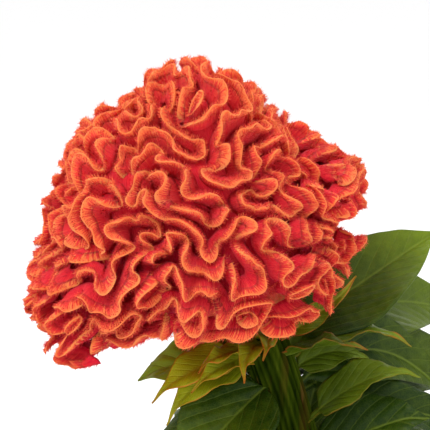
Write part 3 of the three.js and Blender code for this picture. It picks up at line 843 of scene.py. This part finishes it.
crestSheets = {
    "lip": makeRuffle("crest_lips", ruffle["lip"], ruffle["lipColumns"]),
    "folds": makeRuffle("crest_folds", ruffle["folds"], ruffle["foldColumns"]),
}
for seed, row in enumerate(bristles["rows"]):
    makeBristles(row, crestSheets, 5 + seed)
print("bristles made")


# Tubes of rings, for the stem, the leaves, the core, the pot and the soil

def closedTube(rings):
    # Rings joined one to the next and closed with a point at each end, as triangles with corner places
    rings = np.asarray(rings, float)
    rows, columns = rings.shape[:2]
    quads, places = gridFaces(rows, columns, closeColumns=True)
    corner = np.array([0, 1, 2, 0, 2, 3])
    triangles = quads[:, corner].reshape(-1, 3)
    places = places.reshape(-1, 4, 2)[:, corner].reshape(-1, 2)
    c = np.arange(columns)
    n = (c + 1) % columns
    low = np.stack([n, c, np.full(columns, rows * columns)], 1)
    high = (rows - 1) * columns + np.stack([c, n, np.full(columns, columns + 1)], 1)
    points = np.concatenate([rings.reshape(-1, 3), rings[:1].mean(1), rings[-1:].mean(1)])
    lowPlaces = np.stack([np.stack([c + 1, c, c + 0.5], 1), np.zeros((columns, 3))], 2)
    highPlaces = np.stack([np.stack([c, c + 1, c + 0.5], 1), np.full((columns, 3), rows - 1)], 2)
    triangles = np.concatenate([triangles, low, high])
    places = np.concatenate([places, lowPlaces.reshape(-1, 2), highPlaces.reshape(-1, 2)])
    a, b, c = (points[triangles[:, k]] for k in range(3))
    if (a * np.cross(b, c)).sum() < 0:
        triangles = triangles[:, ::-1]
        places = places.reshape(-1, 3, 2)[:, ::-1].reshape(-1, 2)
    return points, triangles, places


def withEnds(values, columns):
    # Values of each ring's point, with the two end points' own means added
    values = np.asarray(values, float)
    flat = values.reshape(-1, values.shape[-1])
    return np.concatenate([flat, flat[:columns].mean(0)[None], flat[-columns:].mean(0)[None]])


# Stem

stemShape = {
    "path": [(2, 0, 70), (2, 0, 120), (-6, 0, 165), (-27, 0, 220)],
    "wide": (6.2, 9.6, 10.4),
    "thin": (5.2, 5.8, 7.2),
    "knee": 2 / 3,
    "ridges": (22, 7),  # fine ones and broad ones
    "ridgeHeight": 0.05,
    "columns": 160,
    "rows": 110,
    # The stem's own greens, darkened as painted shade from the head above it
    "colours": [(0.0, (0.006, 0.013, 0.001)), (0.35, (0.025, 0.043, 0.002)), (0.8, (0.07, 0.1, 0.006))],
    "red": (0.08, 0.024, 0.007),
    "scar": (0.18, 0.08, 0.025),
}


def bezierPoint(guides, t):
    # Point of the Bezier curve at t, by mixing neighbouring guide points until one is left
    t = np.asarray(t, float)[..., None]
    points = [np.array(p, float) for p in guides]
    while len(points) > 1:
        points = [a * (1 - t) + b * t for a, b in zip(points, points[1:])]
    return points[0]


def bezierTangent(guides, t):
    guides = np.array(guides, float)
    return unit(bezierPoint(guides[1:] - guides[:-1], t))


def stemAt(height):
    # Point of the stem's middle line at a height, by looking the height up along the curve
    t = np.linspace(0, 1, 2001)
    return bezierPoint(stemShape["path"], np.interp(height, bezierPoint(stemShape["path"], t)[:, 2], t))


def stemSection(t, angle, grow=0.0):
    # Point of the stem's surface: an ellipse that widens upwards, its broad side turned with the stem
    s = stemShape
    centre, along = bezierPoint(s["path"], t), bezierTangent(s["path"], t)
    broad = np.stack([along[..., 2], np.zeros(along.shape[:-1]), -along[..., 0]], -1)
    shares = [0, s["knee"], 1]
    wide = (np.interp(t, shares, s["wide"]) * (1 + grow) * np.cos(angle))[..., None]
    thin = (np.interp(t, shares, s["thin"]) * (1 + grow) * np.sin(angle))[..., None]
    return centre + broad * wide + np.array([0, 1.0, 0]) * thin


def paintStem(tree, place):
    # tone x: height of the ridges
    s = stemShape
    drawn = scaled(place, (1.0, 1.0, 0.12))
    streak = cloudy(drawn, 260.0, 900.0)
    # Painted shade: the ramp's dark greens stand in for the head's shadow on the stem, on top of its own
    # green
    colour = ramp(plus(times(pointTones(tree)[0], 0.5), times(streak, 0.9)), s["colours"])
    colour = mixColour(spread(noise(drawn, 180.0, 1.0), 0.56, 0.7, 0.0, 0.3375), colour, s["red"])
    colour = mixColour(spread(noise(drawn, 230.0, 2.0, 0.4), 0.67, 0.76, 0.0, 0.6), colour, s["scar"])
    return {"Base Color": colour, "Normal": bumped(streak, 0.0004, 0.5)}


def makeStem():
    # Fine and broad ridges, as two cosines of the angle that wander along the stem
    s = stemShape
    angle = fullTurn(s["columns"])[None]
    t = np.linspace(0, 1, s["rows"])[:, None]
    wander = 0.5 * np.sin(5 * t) + 0.3 * np.sin(13 * t + 1)
    fine, broad = s["ridges"]
    ridge = 0.75 * np.cos(fine * angle + wander) + 0.7 * np.cos(broad * angle + 2 - wander)
    surface = stemSection(t + 0 * angle, angle + 0 * t, s["ridgeHeight"] * ridge)
    points, triangles, places = closedTube(surface)
    tones = withEnds(np.stack([ridge / 2.9 + 0.5, 0 * ridge, 0 * ridge], 2), s["columns"])
    material = makeMaterial("stem", {"Roughness": 0.5, "Specular IOR Level": 0.0}, paintStem)
    makePiece("stem_ridged", points, triangles, material, "stem", ["stem"], tones, places)


makeStem()
print("stem made")


# Core of the flower head

core = {
    "columns": 180,
    "crownRows": 40,
    "coneRows": 36,
    "polar": (1, 118),  # degrees
    "depths": (9, 18),  # mm below the shell over the crown and at the rim
    "deeperFrom": 60,
    "hollow": 8.5,
    "ribs": 0.8,
    "ribWaves": (30, 47),
    "crownTone": 0.9,  # depth below the crest's edge that the colour takes, cm
    "coneTones": (0.7, 0.3),
    "greenFrom": 0.45,
    "chaff": 9000,
    "chaffRows": 8,  # chaff starts this many rows above the rim and ends as many above the neck
    "chaffLength": (1.2, 3.0),
}


def makeCore():
    # Fleshy core below the ruffles: the shell drawn in, then a ribbed cone with chaff down to the neck
    c = core
    turn = fullTurn(c["columns"])
    rows, tones = [], []
    for polar in np.linspace(*c["polar"], c["crownRows"]):
        angle = np.radians(polar)
        flat = np.sin(angle)
        at = np.stack([flat * np.cos(turn), flat * np.sin(turn), np.cos(angle) + 0 * turn], 1)
        depth = between(c["depths"], smoothStep(polar, c["deeperFrom"], c["polar"][1]))
        rows.append(fromHead(at * (finalRadius(at) - depth)[:, None]))
        tones.append([c["crownTone"], 0, 0])
    rim = rows[-1]
    neck = stemSection(np.ones(c["columns"]), turn, -0.03)
    broad, fine = c["ribWaves"]
    ribs = np.cos(broad * turn) + 0.6 * np.cos(fine * turn + 1)
    for row in range(1, c["coneRows"] + 1):
        share = row / c["coneRows"]
        ring = rim * (1 - share) + neck * share
        arch = np.sin(np.pi * share)
        ring[:, 2] += (c["hollow"] + c["ribs"] * ribs) * arch
        rows.append(ring)
        tones.append([between(c["coneTones"], share), 0, smoothStep(share, c["greenFrom"], 1.0)])
    points, triangles, places = closedTube(rows)
    tones = withEnds(np.repeat(np.array(tones)[:, None], c["columns"], 1), c["columns"])
    makePiece("crest_core", points, triangles, crestMaterial, "crest", [], tones, places * 2)
    rng = np.random.default_rng(9)
    rows = np.array(rows)
    limits = (c["crownRows"] - c["chaffRows"], len(rows) - c["chaffRows"])
    row = between(limits, rng.random(c["chaff"]) ** 1.4)
    row, column = row.astype(int), rng.integers(0, c["columns"], c["chaff"])
    base, beside = rows[row, column], rows[row, (column + 1) % c["columns"]]
    down = unit(rows[row + 1, column] - base)
    along = unit(beside - base)
    outward = np.cross(down, along)
    outward *= np.sign((outward * (base - rows.mean((0, 1)))).sum(1))[:, None]
    mixed = rng.random((c["chaff"], 1))
    base = base * (1 - mixed) + beside * mixed - outward * 0.1
    way = unit(outward - down * 0.5 + rng.normal(0, 0.35, (c["chaff"], 3)))
    long = between(c["chaffLength"], rng.random(c["chaff"]))
    placeBristles("crest_chaff", base, way, long, along, 1.5 + 2 * rng.random(c["chaff"]), 0.5, rng)


makeCore()
print("core made")


# Leaves and bracts

leafStyle = {
    "blade": 0.5,
    "stalk": 2.4,
    "stalkHalf": 1.4,
    "stalkShare": 0.14,
    "tipHalf": 0.35,
    "fold": 18,
    "wave": 2.0,
    "waves": 2,
    "rootPower": 0.72,
    "tipPower": 1.15,
    "tail": 0.15,  # share by which the last part narrows to a drawn-out tip
    "tailFrom": (0.8, 1.0),
    "curl": 2.0,  # mm that the tip bends out of the midrib's arch
    "curlFrom": 0.72,
    "sway": 0.7,  # sideways share of the curl
    "cup": 1.15,
    "rib": (0.9, 0.8),  # height and half width of the midrib below, and of its groove above
    "groove": (0.35, 0.7),
    "nibble": 0.25,  # mm of fine waves along the margin
    "nibbles": 9,
    "rows": 64,
    "columns": 22,
    "veinStep": 11.0,
    "quilt": 0.8,
    "redTip": 0.2,
    "light": (0.0, 1.25),  # share of the paleness near the stalk and at the tip: painted shade, darkest at the stalk under the head
    "paintedShadePower": 1.6,
    "broad": 1.0,
}
smallLeafStyle = {
    **leafStyle,
    "widest": 21,  # narrower leaves have this style, mm
    "stalk": 1.8,
    "stalkHalf": 1.2,
    "stalkShare": 0.22,
    "rootPower": 0.38,
    "tipPower": 1.1,
    "tail": 0.82,
    "tailFrom": (0.58, 0.84),
    "curl": 3.0,
    "veinStep": 7.0,
    "quilt": 0.5,
    "redTip": 0.12,
    "light": (0.5, 1.25),
}
bractStyle = {
    **leafStyle,
    "stalk": 1.6,
    "stalkHalf": 1.2,
    "rootPower": 0.65,
    "tipPower": 1.5,
    "tail": 0.3,
    "tailFrom": (0.5, 0.9),
    "curl": 3.0,
    "nibble": 0.2,
    "rows": 44,
    "columns": 12,
    "veinStep": 5.0,
    "quilt": 0.3,
    "redTip": 0.1,
    "light": (0.6, 1.25),
    "stalkShare": 0.3,
    "broad": 1.2,
}
veinLean = (1.6, 0.02)
leafPalette = {
    "dark": (0.012, 0.034, 0.0012),
    "pale": (0.2, 0.28, 0.01),
    "vein": (0.2, 0.27, 0.03),
    "red": (0.42, 0.06, 0.015),
    "redWide": 0.5,
}
bractPalette = {
    "dark": (0.045, 0.08, 0.001),
    "pale": (0.36, 0.37, 0.006),
    "vein": (0.36, 0.36, 0.03),
    "red": (0.6, 0.08, 0.02),
    "redWide": 0.55,
}

# name, height of the root on the stem, tip, lift, width, face; then paleness and redness of its edge
leafRows = [
    ("leaf_right_broad", 213, (54, 38, 259), 0, 44.5, (-0.3, -0.8, 0.5), 0.56, 0),
    ("leaf_right_low", 206, (40.5, 2, 216), 17.5, 17, (0.1, -0.3, 1), 0.68, 0.85),
    ("leaf_right_front", 209, (16.5, -28, 221.5), 5, 12, (0, -0.1, 1), 0.45, 0.9),
    ("leaf_right_short", 174, (41, -20, 208.5), 15.5, 20, (0, -0.55, 0.85), 0.62, 0.35),
    ("leaf_right_pale", 197, (23.5, 7.5, 204.5), 19, 18, (0.2, -0.7, 0.8), 0.55, 0.15),
    ("leaf_right_arched", 190, (57, 28.5, 184.5), 43.5, 31.5, (0.3, -0.85, 0.45), 0.18, 0),
    ("leaf_right_dark", 157, (64, 4.5, 174), 32.5, 30.5, (0, -0.65, 0.75), 0, 0),
    ("leaf_right_behind", 206, (68, 81.5, 210), 30, 40.5, (0, -0.85, 0.5), 0.5, 0),
    ("leaf_right_far", 189, (75, 71, 181), 27, 39, (0.1, -0.85, 0.5), 0.22, 0),
    ("leaf_right_under", 160, (44.5, -20, 189), 6, 34, (0, -0.7, 0.7), 0.02, 0),
    ("leaf_left_broad", 199.5, (-63, -37.5, 163), 6, 42, (-0.35, -0.85, 0.4), 0.26, 0),
    ("leaf_left_narrow", 182, (-76, 8, 166), 16, 24, (-0.3, -0.5, 0.8), 0.2, 0),
    ("leaf_left_pale", 203.5, (-82.5, 12, 197), 10, 28, (0, -0.6, 0.8), 1.3, 0),
    ("leaf_back_left", 196, (-80, 64, 188), 8, 36, (-0.2, 0.3, 1), 0.22, 0),
    ("leaf_back_middle", 189.5, (0.5, 93, 184), 27, 40, (0, 0.2, 1), 0.2, 0),
    ("leaf_back_low", 168, (-68, 62, 160), 30, 38, (-0.3, 0.2, 1), 0.15, 0),
]
bractRows = [
    ("bract_left_long", 211, (-75, -26, 197), 11, 15, (-0.3, -0.7, 0.6), 1, 0.7),
    ("bract_left_low", 206, (-70, -22, 186), 18, 16, (-0.3, -0.7, 0.6), 0.75, 0.6),
    ("bract_left_slim", 210.5, (-57, -36.5, 204.5), 8, 9, (-0.2, -0.8, 0.6), 0.8, 0.9),
    ("bract_left_small", 215, (-54.5, -37.5, 214.5), 2.5, 7, (-0.2, -0.7, 0.7), 0.8, 1),
    ("bract_front", 211, (-37, -42.5, 210.5), 17, 10, (-0.1, -0.8, 0.6), 0.7, 0.8),
    ("bract_front_thin", 212.5, (-25, -37, 219), 12, 8, (0, -0.8, 0.6), 0.6, 1),
    ("bract_right", 214, (13.5, -18.5, 247), -4, 7, (0.2, -0.8, 0.5), 0.25, 0.9),
    ("bract_back_1", 215, (-17.5, 28.5, 206.5), 4.5, 10, (-0.06, -0.19, 1), 0.6, 0.8),
    ("bract_back_2", 215, (-32, 38.5, 212), 9.5, 10, (0.06, -0.19, 1), 0.6, 0.8),
    ("bract_back_3", 210.5, (-53.5, 33, 207), 8, 10, (0.15, -0.13, 1), 0.6, 0.8),
]
# Young leaves in the joints between stem and stalks, which only the scene has
youngRows = [
    ("young_leaf_1", 168, (0.5, 13, 206), -2, 15, (-0.1, -1, 0.3), 0.12, 0.1),
    ("young_leaf_2", 203, (-8.5, 8, 226), -1, 9, (0.3, -1, 0.2), 0.6, 0.4),
    ("young_leaf_3", 154, (4, 8, 189), -3, 11, (0.1, -1, 0.3), 0.4, 0.3),
    ("young_leaf_4", 196, (-36, 12, 214), -2, 10, (-0.3, -0.6, 0.6), 0.4, 0.4),
]
lowLeaves = {
    "count": 7,
    "heights": (108, 146),
    "first": 70,
    "turn": 137.5,
    "length": (85, 99),
    "width": 38,
    "lift": 40,
    "tipRise": (-4, 10),
}


def lowLeafRows():
    # Leaves in a spiral up the stem, each turned on from the one below
    w = lowLeaves
    draw = randomSource(headShape["seed"])
    rows = []
    for i in range(w["count"]):
        height = between(w["heights"], i / (w["count"] - 1))
        turn = np.radians(w["first"] + w["turn"] * i)
        way = np.array([np.cos(turn), np.sin(turn)])
        far, rise = between(w["length"], draw()), between(w["tipRise"], draw())
        tip = (*(stemAt(height)[:2] + far * way), height + rise)
        face = (*(-0.25 * way), 1)
        rows.append(("leaf_low_%d" % (i + 1), height, tip, w["lift"], w["width"], face, 0.25, 0.0))
    return rows


def makeVeinGroup():
    # Side veins lean towards the tip: along - a |across| - b across^2 is the same all along one
    names = ("Along", "Across", "Step")
    group, (along, across, step), result = newGroup("leafVeins", names, ("Vein", "Midrib"))
    away = math("ABSOLUTE", across)
    lean = plus(times(away, veinLean[0]), times(times(away, away), veinLean[1]))
    side = times(math("GREATER_THAN", across, 0.0), times(step, 0.5))
    part = math("FRACT", math("DIVIDE", plus(math("SUBTRACT", along, lean), side), step))
    near = times(math("MINIMUM", part, math("SUBTRACT", 1.0, part)), step)
    feed(result, {0: spread(near, 0.1, 0.75, 1.0, 0.0), 1: spread(away, 0.2, 0.8, 1.0, 0.0)})
    return group


veinGroup = makeVeinGroup()


def paintLeaf(tree, place, step, palette):
    # tone x: mm from the blade's edge; y: paleness, lowered towards the stalk as painted shade; z: redness
    # of the edge and tip
    toEdge, paleness, redness = pointTones(tree)
    along, across, _ = put(tree, "ShaderNodeSeparateXYZ", {0: surfacePlace(tree)})
    values = {"Along": along, "Across": across, "Step": step}
    vein, midrib = put(tree, "ShaderNodeGroup", values, node_tree=veinGroup)
    mottle = cloudy(place, 34.0, 300.0)
    cells = put(tree, "ShaderNodeTexVoronoi", {"Vector": place, "Scale": 900.0}, feature="DISTANCE_TO_EDGE")
    net = spread(cells[0], 0.0, 0.12, 1.0, 0.0)
    light = put(tree, "ShaderNodeClamp", {0: plus(paleness, times(mottle, 0.6))})[0]
    colour = mixColour(light, palette["dark"], palette["pale"])
    veinColour = mixColour(0.5, colour, palette["vein"])
    for mask, share in ((net, 0.2), (vein, 0.4), (midrib, 0.85)):
        colour = mixColour(times(mask, share), colour, veinColour)
    rim = times(spread(toEdge, 0.1, palette["redWide"], 1.0, 0.0), spread(mottle, -0.2, 0.2, 0.1, 1.0))
    colour = mixColour(times(rim, redness), colour, palette["red"])
    height = plus(times(vein, -0.6), times(net, -0.25))
    return {"Base Color": colour, "Normal": bumped(height, 0.0004, 0.6)}


leafFinish = {"Roughness": 0.38, "Specular IOR Level": 0.14}
leafMaterial, smallLeafMaterial, bractMaterial = (
    makeMaterial(name, leafFinish, paintLeaf, style["veinStep"], palette)
    for name, style, palette in (
        ("leaf", leafStyle, leafPalette),
        ("small_leaf", smallLeafStyle, leafPalette),
        ("bract", bractStyle, bractPalette),
    )
)


def makeBlade(row, p, material, slot, inModel=True):
    # Blade over (t, s): t runs from stalk to tip, s from edge to edge; outline t^a (1 - t)^b, and the
    # halves rise from the midrib with waves at the margin and quilted fields between the side veins
    name, height, tip, lift, width, face, paleness, redness = row
    root, tip = stemAt(height), np.array(tip, float)
    guides = [root, (root + tip) / 2 + np.array([0, 0, lift]), tip]
    u = np.linspace(0, 1, p["rows"])
    s = np.linspace(-1, 1, p["columns"] + 1)[None]
    centre, along = bezierPoint(guides, u), bezierTangent(guides, u)
    side = unit(np.cross(along, unit(np.array(face, float))))
    normal = np.cross(side, along)
    t = np.clip((u - p["stalkShare"]) / (1 - p["stalkShare"]), 0, 1)
    a, b = p["rootPower"], p["tipPower"]
    most = (a / (a + b)) ** a * (b / (a + b)) ** b
    half = p["broad"] * (width / 2) * t**a * (1 - t) ** b / most
    half = half * (1 - p["tail"] * smoothStep(t, *p["tailFrom"])) + p["stalkHalf"] * (1 - t) + p["tipHalf"]
    bend = p["curl"] * smoothStep(t, p["curlFrom"], 1.0)[:, None] ** 2
    centre = centre + (side * p["sway"] * np.sin(7.3 * height + width) - normal) * bend
    arc = np.concatenate([[0], np.cumsum(length(np.diff(centre, axis=0)))])[:, None]
    t, half = t[:, None], half[:, None]
    across, edge = half * s, np.abs(s)
    phase, fold = np.where(s > 0, 0.6, 2.6), np.radians(p["fold"])
    ripple = p["wave"] * s**2 * np.sin(2 * np.pi * p["waves"] * t + phase) * np.sin(np.pi * t)
    lean = veinLean[0] * np.abs(across) + veinLean[1] * across**2
    part = np.mod((arc - lean + np.where(across > 0, p["veinStep"] / 2, 0)) / p["veinStep"], 1)
    quilt = p["quilt"] * np.sin(np.pi * part) * smoothStep(half * (1 - edge), 0, 4)
    quilt = quilt * smoothStep(np.abs(across), 0.3, 2.5)
    nibble = np.sin(2 * np.pi * (p["nibbles"] * t + 0.3 * phase)) * np.sin(np.pi * t)
    rise = half * edge ** p["cup"] * np.sin(fold) + ripple + quilt + p["nibble"] * edge**6 * nibble
    side, normal = side[:, None], normal[:, None]
    middle = centre[:, None] + side * (across * np.cos(fold))[..., None] + normal * rise[..., None]
    thick = p["blade"] + (p["stalk"] - p["blade"]) * (1 - t) ** 2 * (1 - edge)
    rib, groove = (high * np.exp(-((across / wide) ** 2)) for high, wide in (p["rib"], p["groove"]))
    upper = middle + normal * (thick / 2 - groove * (t > 0))[..., None]
    lower = middle - normal * (thick / 2 + rib * (1 - t))[..., None]
    rings = np.concatenate([upper, lower[:, ::-1]], 1)
    points, triangles, _ = closedTube(rings)
    toEdge = np.minimum(half * (1 - edge), (arc[-1] - arc) * p["redTip"])
    # Painted shade: the paleness drops towards the stalk, where the head and the leaves above shade the
    # blade
    light = paleness * between(p["light"], t ** p["paintedShadePower"])
    facts = np.stack(np.broadcast_arrays(toEdge, light, redness, arc, across), 2)
    facts = withEnds(np.concatenate([facts, facts[:, ::-1]], 1), rings.shape[1])
    uv = facts[triangles.ravel()][:, 3:]
    replaced = [name] if inModel else []
    makePiece(name + "_blade", points, triangles, material, slot, replaced, facts[:, :3], uv)


for row in leafRows + lowLeafRows():
    small = row[4] < smallLeafStyle["widest"]
    look = (smallLeafStyle, smallLeafMaterial) if small else (leafStyle, leafMaterial)
    makeBlade(row, *look, "leaf")
for row in bractRows:
    makeBlade(row, bractStyle, bractMaterial, "bract")
for row in youngRows:
    makeBlade(row, bractStyle, smallLeafMaterial, "leaf", False)
print("leaves made")


# Pot and soil

potShape = {
    "height": 108,
    "footRadius": 42,
    "shoulderRadius": 56.5,
    "rimRadius": 63,
    "rimHeight": 20,
    "rimTaper": 1,
    "wall": 5,
    "floor": 7,
    "chamfer": 1.5,
    "drainRadius": 5,
    "drainCircle": 24,
    "drains": 3,
    "drainColumns": 36,
    "columns": 160,
    "cornerSteps": 5,
    "colours": [(0.1, (0.3, 0.09, 0.04)), (0.5, (0.47, 0.165, 0.075)), (0.95, (0.6, 0.27, 0.15))],
    "bloom": (0.62, 0.5, 0.42),
}
soilShape = {
    "edge": 95,
    "mound": 6,
    "gap": 0.3,
    "rings": 44,
    "columns": 150,
    "rough": 1.3,
    "crumbs": (900, (0.7, 2.6)),  # how many, and their sizes in mm
    "grit": (60, (0.8, 1.8)),
    "colours": [(0.2, (0.008, 0.005, 0.003)), (0.5, (0.028, 0.016, 0.01)), (0.9, (0.09, 0.05, 0.028))],
    "gritColours": [(0.1, (0.4, 0.36, 0.3)), (0.9, (0.8, 0.78, 0.72))],
}


def innerPotRadius(z):
    # Straight from the foot to the shoulder, less the wall
    p = potShape
    share = (z - p["floor"]) / (p["height"] - p["rimHeight"] - p["floor"])
    return between((p["footRadius"], p["shoulderRadius"]), share) - p["wall"]


def roundedProfile(corners, radius, steps):
    # A short curve takes each corner's place, from the given distance before it to that after it
    corners = np.array(corners, float)
    made = [corners[0]]
    for before, at, after in zip(corners, corners[1:], corners[2:]):
        toBefore, toAfter = before - at, after - at
        a = at + toBefore / np.hypot(*toBefore) * min(radius, np.hypot(*toBefore) * 0.45)
        b = at + toAfter / np.hypot(*toAfter) * min(radius, np.hypot(*toAfter) * 0.45)
        for t in np.linspace(0, 1, steps):
            made.append(a * (1 - t) ** 2 + 2 * at * t * (1 - t) + b * t**2)
    return np.array(made + [corners[-1]])


def paintClay(tree, place):
    p = potShape
    grit = noise(place, 1500.0, 2.0)
    throwing = noise(scaled(place, (0.05, 0.05, 1.0)), 420.0, 2.0)
    colour = ramp(plus(times(cloudy(place, 22.0, 240.0), 0.9), 0.5), p["colours"])
    colour = mixColour(spread(noise(place, 30.0, 6.0), 0.56, 0.78, 0.0, 0.35), colour, p["bloom"])
    height = plus(times(throwing, 0.7), times(grit, 0.3))
    rough = spread(grit, 0.0, 1.0, 0.75, 0.98)
    return {"Base Color": colour, "Roughness": rough, "Normal": bumped(height, 0.0006, 0.5)}


def makePot():
    # The wall's profile turned round the axis, less the drain holes in its floor
    p = potShape
    rimBottom = p["height"] - p["rimHeight"]
    corners = [
        (0.2, 0),
        (p["footRadius"], 0),
        (p["shoulderRadius"], rimBottom),
        (p["rimRadius"] - p["rimTaper"], rimBottom),
        (p["rimRadius"], p["height"]),
        (innerPotRadius(p["height"]), p["height"]),
        (innerPotRadius(p["floor"]), p["floor"]),
        (0.2, p["floor"]),
    ]
    profile = roundedProfile(corners, p["chamfer"], p["cornerSteps"])
    angle = fullTurn(p["columns"])
    ring = np.stack([np.cos(angle), np.sin(angle)], 1)
    heights = np.repeat(profile[:, None, 1:], p["columns"], 1)
    rings = np.concatenate([profile[:, None, :1] * ring[None], heights], 2)
    points, triangles, places = closedTube(rings)
    material = makeMaterial("clay", {"Specular IOR Level": 0.3}, paintClay)
    pot = makePiece("pot_thrown", points, triangles, material, "clay", ["pot"], None, places)
    cutters = []
    for i in range(p["drains"]):
        turn = i * 2 * np.pi / p["drains"] + np.pi / 2
        middle = np.array([p["drainCircle"] * np.cos(turn), p["drainCircle"] * np.sin(turn), 0])
        a = fullTurn(p["drainColumns"])
        circle = np.stack([p["drainRadius"] * np.cos(a), p["drainRadius"] * np.sin(a), 0 * a], 1) + middle
        holes, holeFaces, _ = closedTube([circle - [0, 0, 5], circle + [0, 0, p["floor"] + 5]])
        mesh = bpy.data.meshes.new("drain")
        mesh.from_pydata((holes * toMetres).tolist(), [], holeFaces.tolist())
        cutters.append(newObject("drain_%d" % i, mesh))
        cut = pot.modifiers.new("drain", "BOOLEAN")
        cut.object, cut.operation, cut.solver = cutters[-1], "DIFFERENCE", "EXACT"
    made = bpy.data.meshes.new_from_object(pot.evaluated_get(bpy.context.evaluated_depsgraph_get()))
    pot.modifiers.clear()
    pot.data = made
    for cutter in cutters:
        bpy.data.objects.remove(cutter)


def rollingNoise(x, y, wave, rng, terms=24):
    # Sum of plane waves in random directions, with unit spread
    turn, phase = rng.random(terms) * 2 * np.pi, rng.random(terms) * 2 * np.pi
    size = 2 * np.pi / wave * (0.6 + 0.9 * rng.random(terms))
    waves = np.sin(x[..., None] * np.cos(turn) * size + y[..., None] * np.sin(turn) * size + phase)
    return waves.sum(-1) / np.sqrt(terms / 2)


def paintSoil(tree, place):
    mottle = cloudy(place, 160.0, 900.0)
    colour = ramp(plus(times(mottle, 1.1), 0.5), soilShape["colours"])
    return {"Base Color": colour, "Normal": bumped(mottle, 0.001, 0.8)}


def paintGrit(tree, place):
    return {"Base Color": ramp(plus(cloudy(place, 300.0, 1400.0), 0.5), soilShape["gritColours"])}


def soilHeight(x, y, rng):
    # A mound that falls off as share (2 - share) from the middle to the wall, with lumps
    s = soilShape
    share = 1 - np.sqrt(x * x + y * y) / (innerPotRadius(s["edge"]) - s["gap"])
    lumps = rollingNoise(x, y, 9, rng) * s["rough"] * 0.7 + rollingNoise(x, y, 3.2, rng) * s["rough"] * 0.45
    return s["edge"] + s["mound"] * share * (2 - share) + lumps * np.clip(share * 12, 0.2, 1)


def icosahedron():
    # Corners on three golden rectangles, and each three of them that touch, turned outwards
    pairs = [(a, b * (1 + 5**0.5) / 2) for a in (-1, 1) for b in (-1, 1)]
    flat = [(a, b, 0) for a, b in pairs] + [(0, a, b) for a, b in pairs] + [(b, 0, a) for a, b in pairs]
    corners = unit(np.array(flat, float))
    gaps = length(corners[:, None] - corners[None])
    touching = gaps < 1.2 * gaps[gaps > 0.1].min()
    threes = [(a, b, c) for a in range(12) for b in range(a + 1, 12) for c in range(b + 1, 12)]
    faces = [f for f in threes if touching[f[0], f[1]] and touching[f[1], f[2]] and touching[f[0], f[2]]]
    outwards = [np.linalg.det(corners[list(f)]) > 0 for f in faces]
    return corners, np.array([f if out else f[::-1] for f, out in zip(faces, outwards)])


def makeSoil():
    # Rings from the pot's floor up its wall and over the mound, then crumbs and grit sown on it
    s = soilShape
    angle = fullTurn(s["columns"])
    bottom = potShape["floor"] + s["gap"]
    reach = innerPotRadius(s["edge"]) - s["gap"]
    radii = np.concatenate([[0.5, innerPotRadius(bottom) - s["gap"]], np.linspace(reach, 0.4, s["rings"])])
    x, y = radii[:, None] * np.cos(angle), radii[:, None] * np.sin(angle)
    z = soilHeight(x, y, np.random.default_rng(3))
    z[:2] = bottom
    points, triangles, places = closedTube(np.stack([x, y, z], 2))
    material = makeMaterial("soil", {"Roughness": 0.95, "Specular IOR Level": 0.2}, paintSoil)
    makePiece("soil_surface", points, triangles, material, "soil", ["soil"], None, places)
    corners, faces = icosahedron()
    gritMaterial = makeMaterial("soil_grit", {"Roughness": 0.9}, paintGrit)
    crumbs = (("soil_crumbs", *s["crumbs"], material), ("soil_perlite", *s["grit"], gritMaterial))
    for name, count, sizes, material in crumbs:
        rng = np.random.default_rng(count)
        far, turn = np.sqrt(rng.random(count)) * (reach - 3), rng.random(count) * 2 * np.pi
        x, y = far * np.cos(turn), far * np.sin(turn)
        size = between(sizes, rng.random(count) ** 2)
        z = soilHeight(x, y, np.random.default_rng(3)) + 0.3 * size
        uneven = 1 + rng.normal(0, 0.16, (count, 12, 1))
        shape = corners * uneven * (0.6 + 0.6 * rng.random((count, 1, 3)))
        points = shape * size[:, None, None] + np.stack([x, y, z], 1)[:, None]
        crumbFaces = faces[None] + 12 * np.arange(count)[:, None, None]
        makePiece(name, points.reshape(-1, 3), crumbFaces.reshape(-1, 3), material, "soil", smooth=False)


makePot()
makeSoil()
print("pot and soil made")


# Stage, light and camera

stage = {
    "floorSize": 24,  # metres
    "floor": (0.94, 0.94, 0.94),
    "sky": 1.05,
    "lens": 175.2,
    "distance": 0.9,
    "elevation": 10,
    "aim": (-47.1, -7.5, 273.7),
}


def makeStage():
    mesh = bpy.data.meshes.new("floor")
    h = stage["floorSize"] / 2
    mesh.from_pydata([(-h, -h, 0), (h, -h, 0), (h, h, 0), (-h, h, 0)], [], [(0, 1, 2, 3)])
    mesh.materials.append(makeMaterial("floor", {"Roughness": 0.9, "Base Color": (*stage["floor"], 1)}))
    floor = newObject("floor", mesh)
    world = bpy.data.worlds.new("sky")
    world.use_nodes = True
    feed(world.node_tree.nodes["Background"].inputs, {0: (1, 1, 1, 1), 1: stage["sky"]})
    bpy.context.scene.world = world


def turnTowards(way):
    return way.to_track_quat("-Z", "Y").to_euler()


def makeLight(name, at, towards, size, power):
    light = bpy.data.lights.new(name, "AREA")
    light.shape, light.size, light.energy = "DISK", size, power
    lamp = newObject(name, light)
    lamp.location = at
    lamp.rotation_euler = turnTowards(Vector(towards) - Vector(at))


def makeCamera():
    camera = bpy.data.cameras.new("camera")
    camera.lens, camera.sensor_width, camera.clip_start, camera.clip_end = stage["lens"], 36, 0.01, 100
    holder = newObject("camera", camera)
    e = np.radians(stage["elevation"])
    forward = np.array([0, np.cos(e), -np.sin(e)])
    aim = np.array(stage["aim"]) * toMetres
    holder.location = aim - forward * stage["distance"]
    holder.rotation_euler = turnTowards(Vector(forward))
    bpy.context.scene.camera = holder


makeStage()
makeLight("key", (-0.7, -0.9, 1.6), (-0.05, 0, 0.25), 0.9, 16)
makeLight("fill", (1.4, -1.0, 0.7), (-0.05, 0, 0.25), 1.2, 3)
makeLight("back", (0.5, 1.4, 1.3), (-0.05, 0, 0.25), 0.8, 6)
makeCamera()
bpy.context.scene.view_settings.view_transform = "Standard"
print("stage ready")
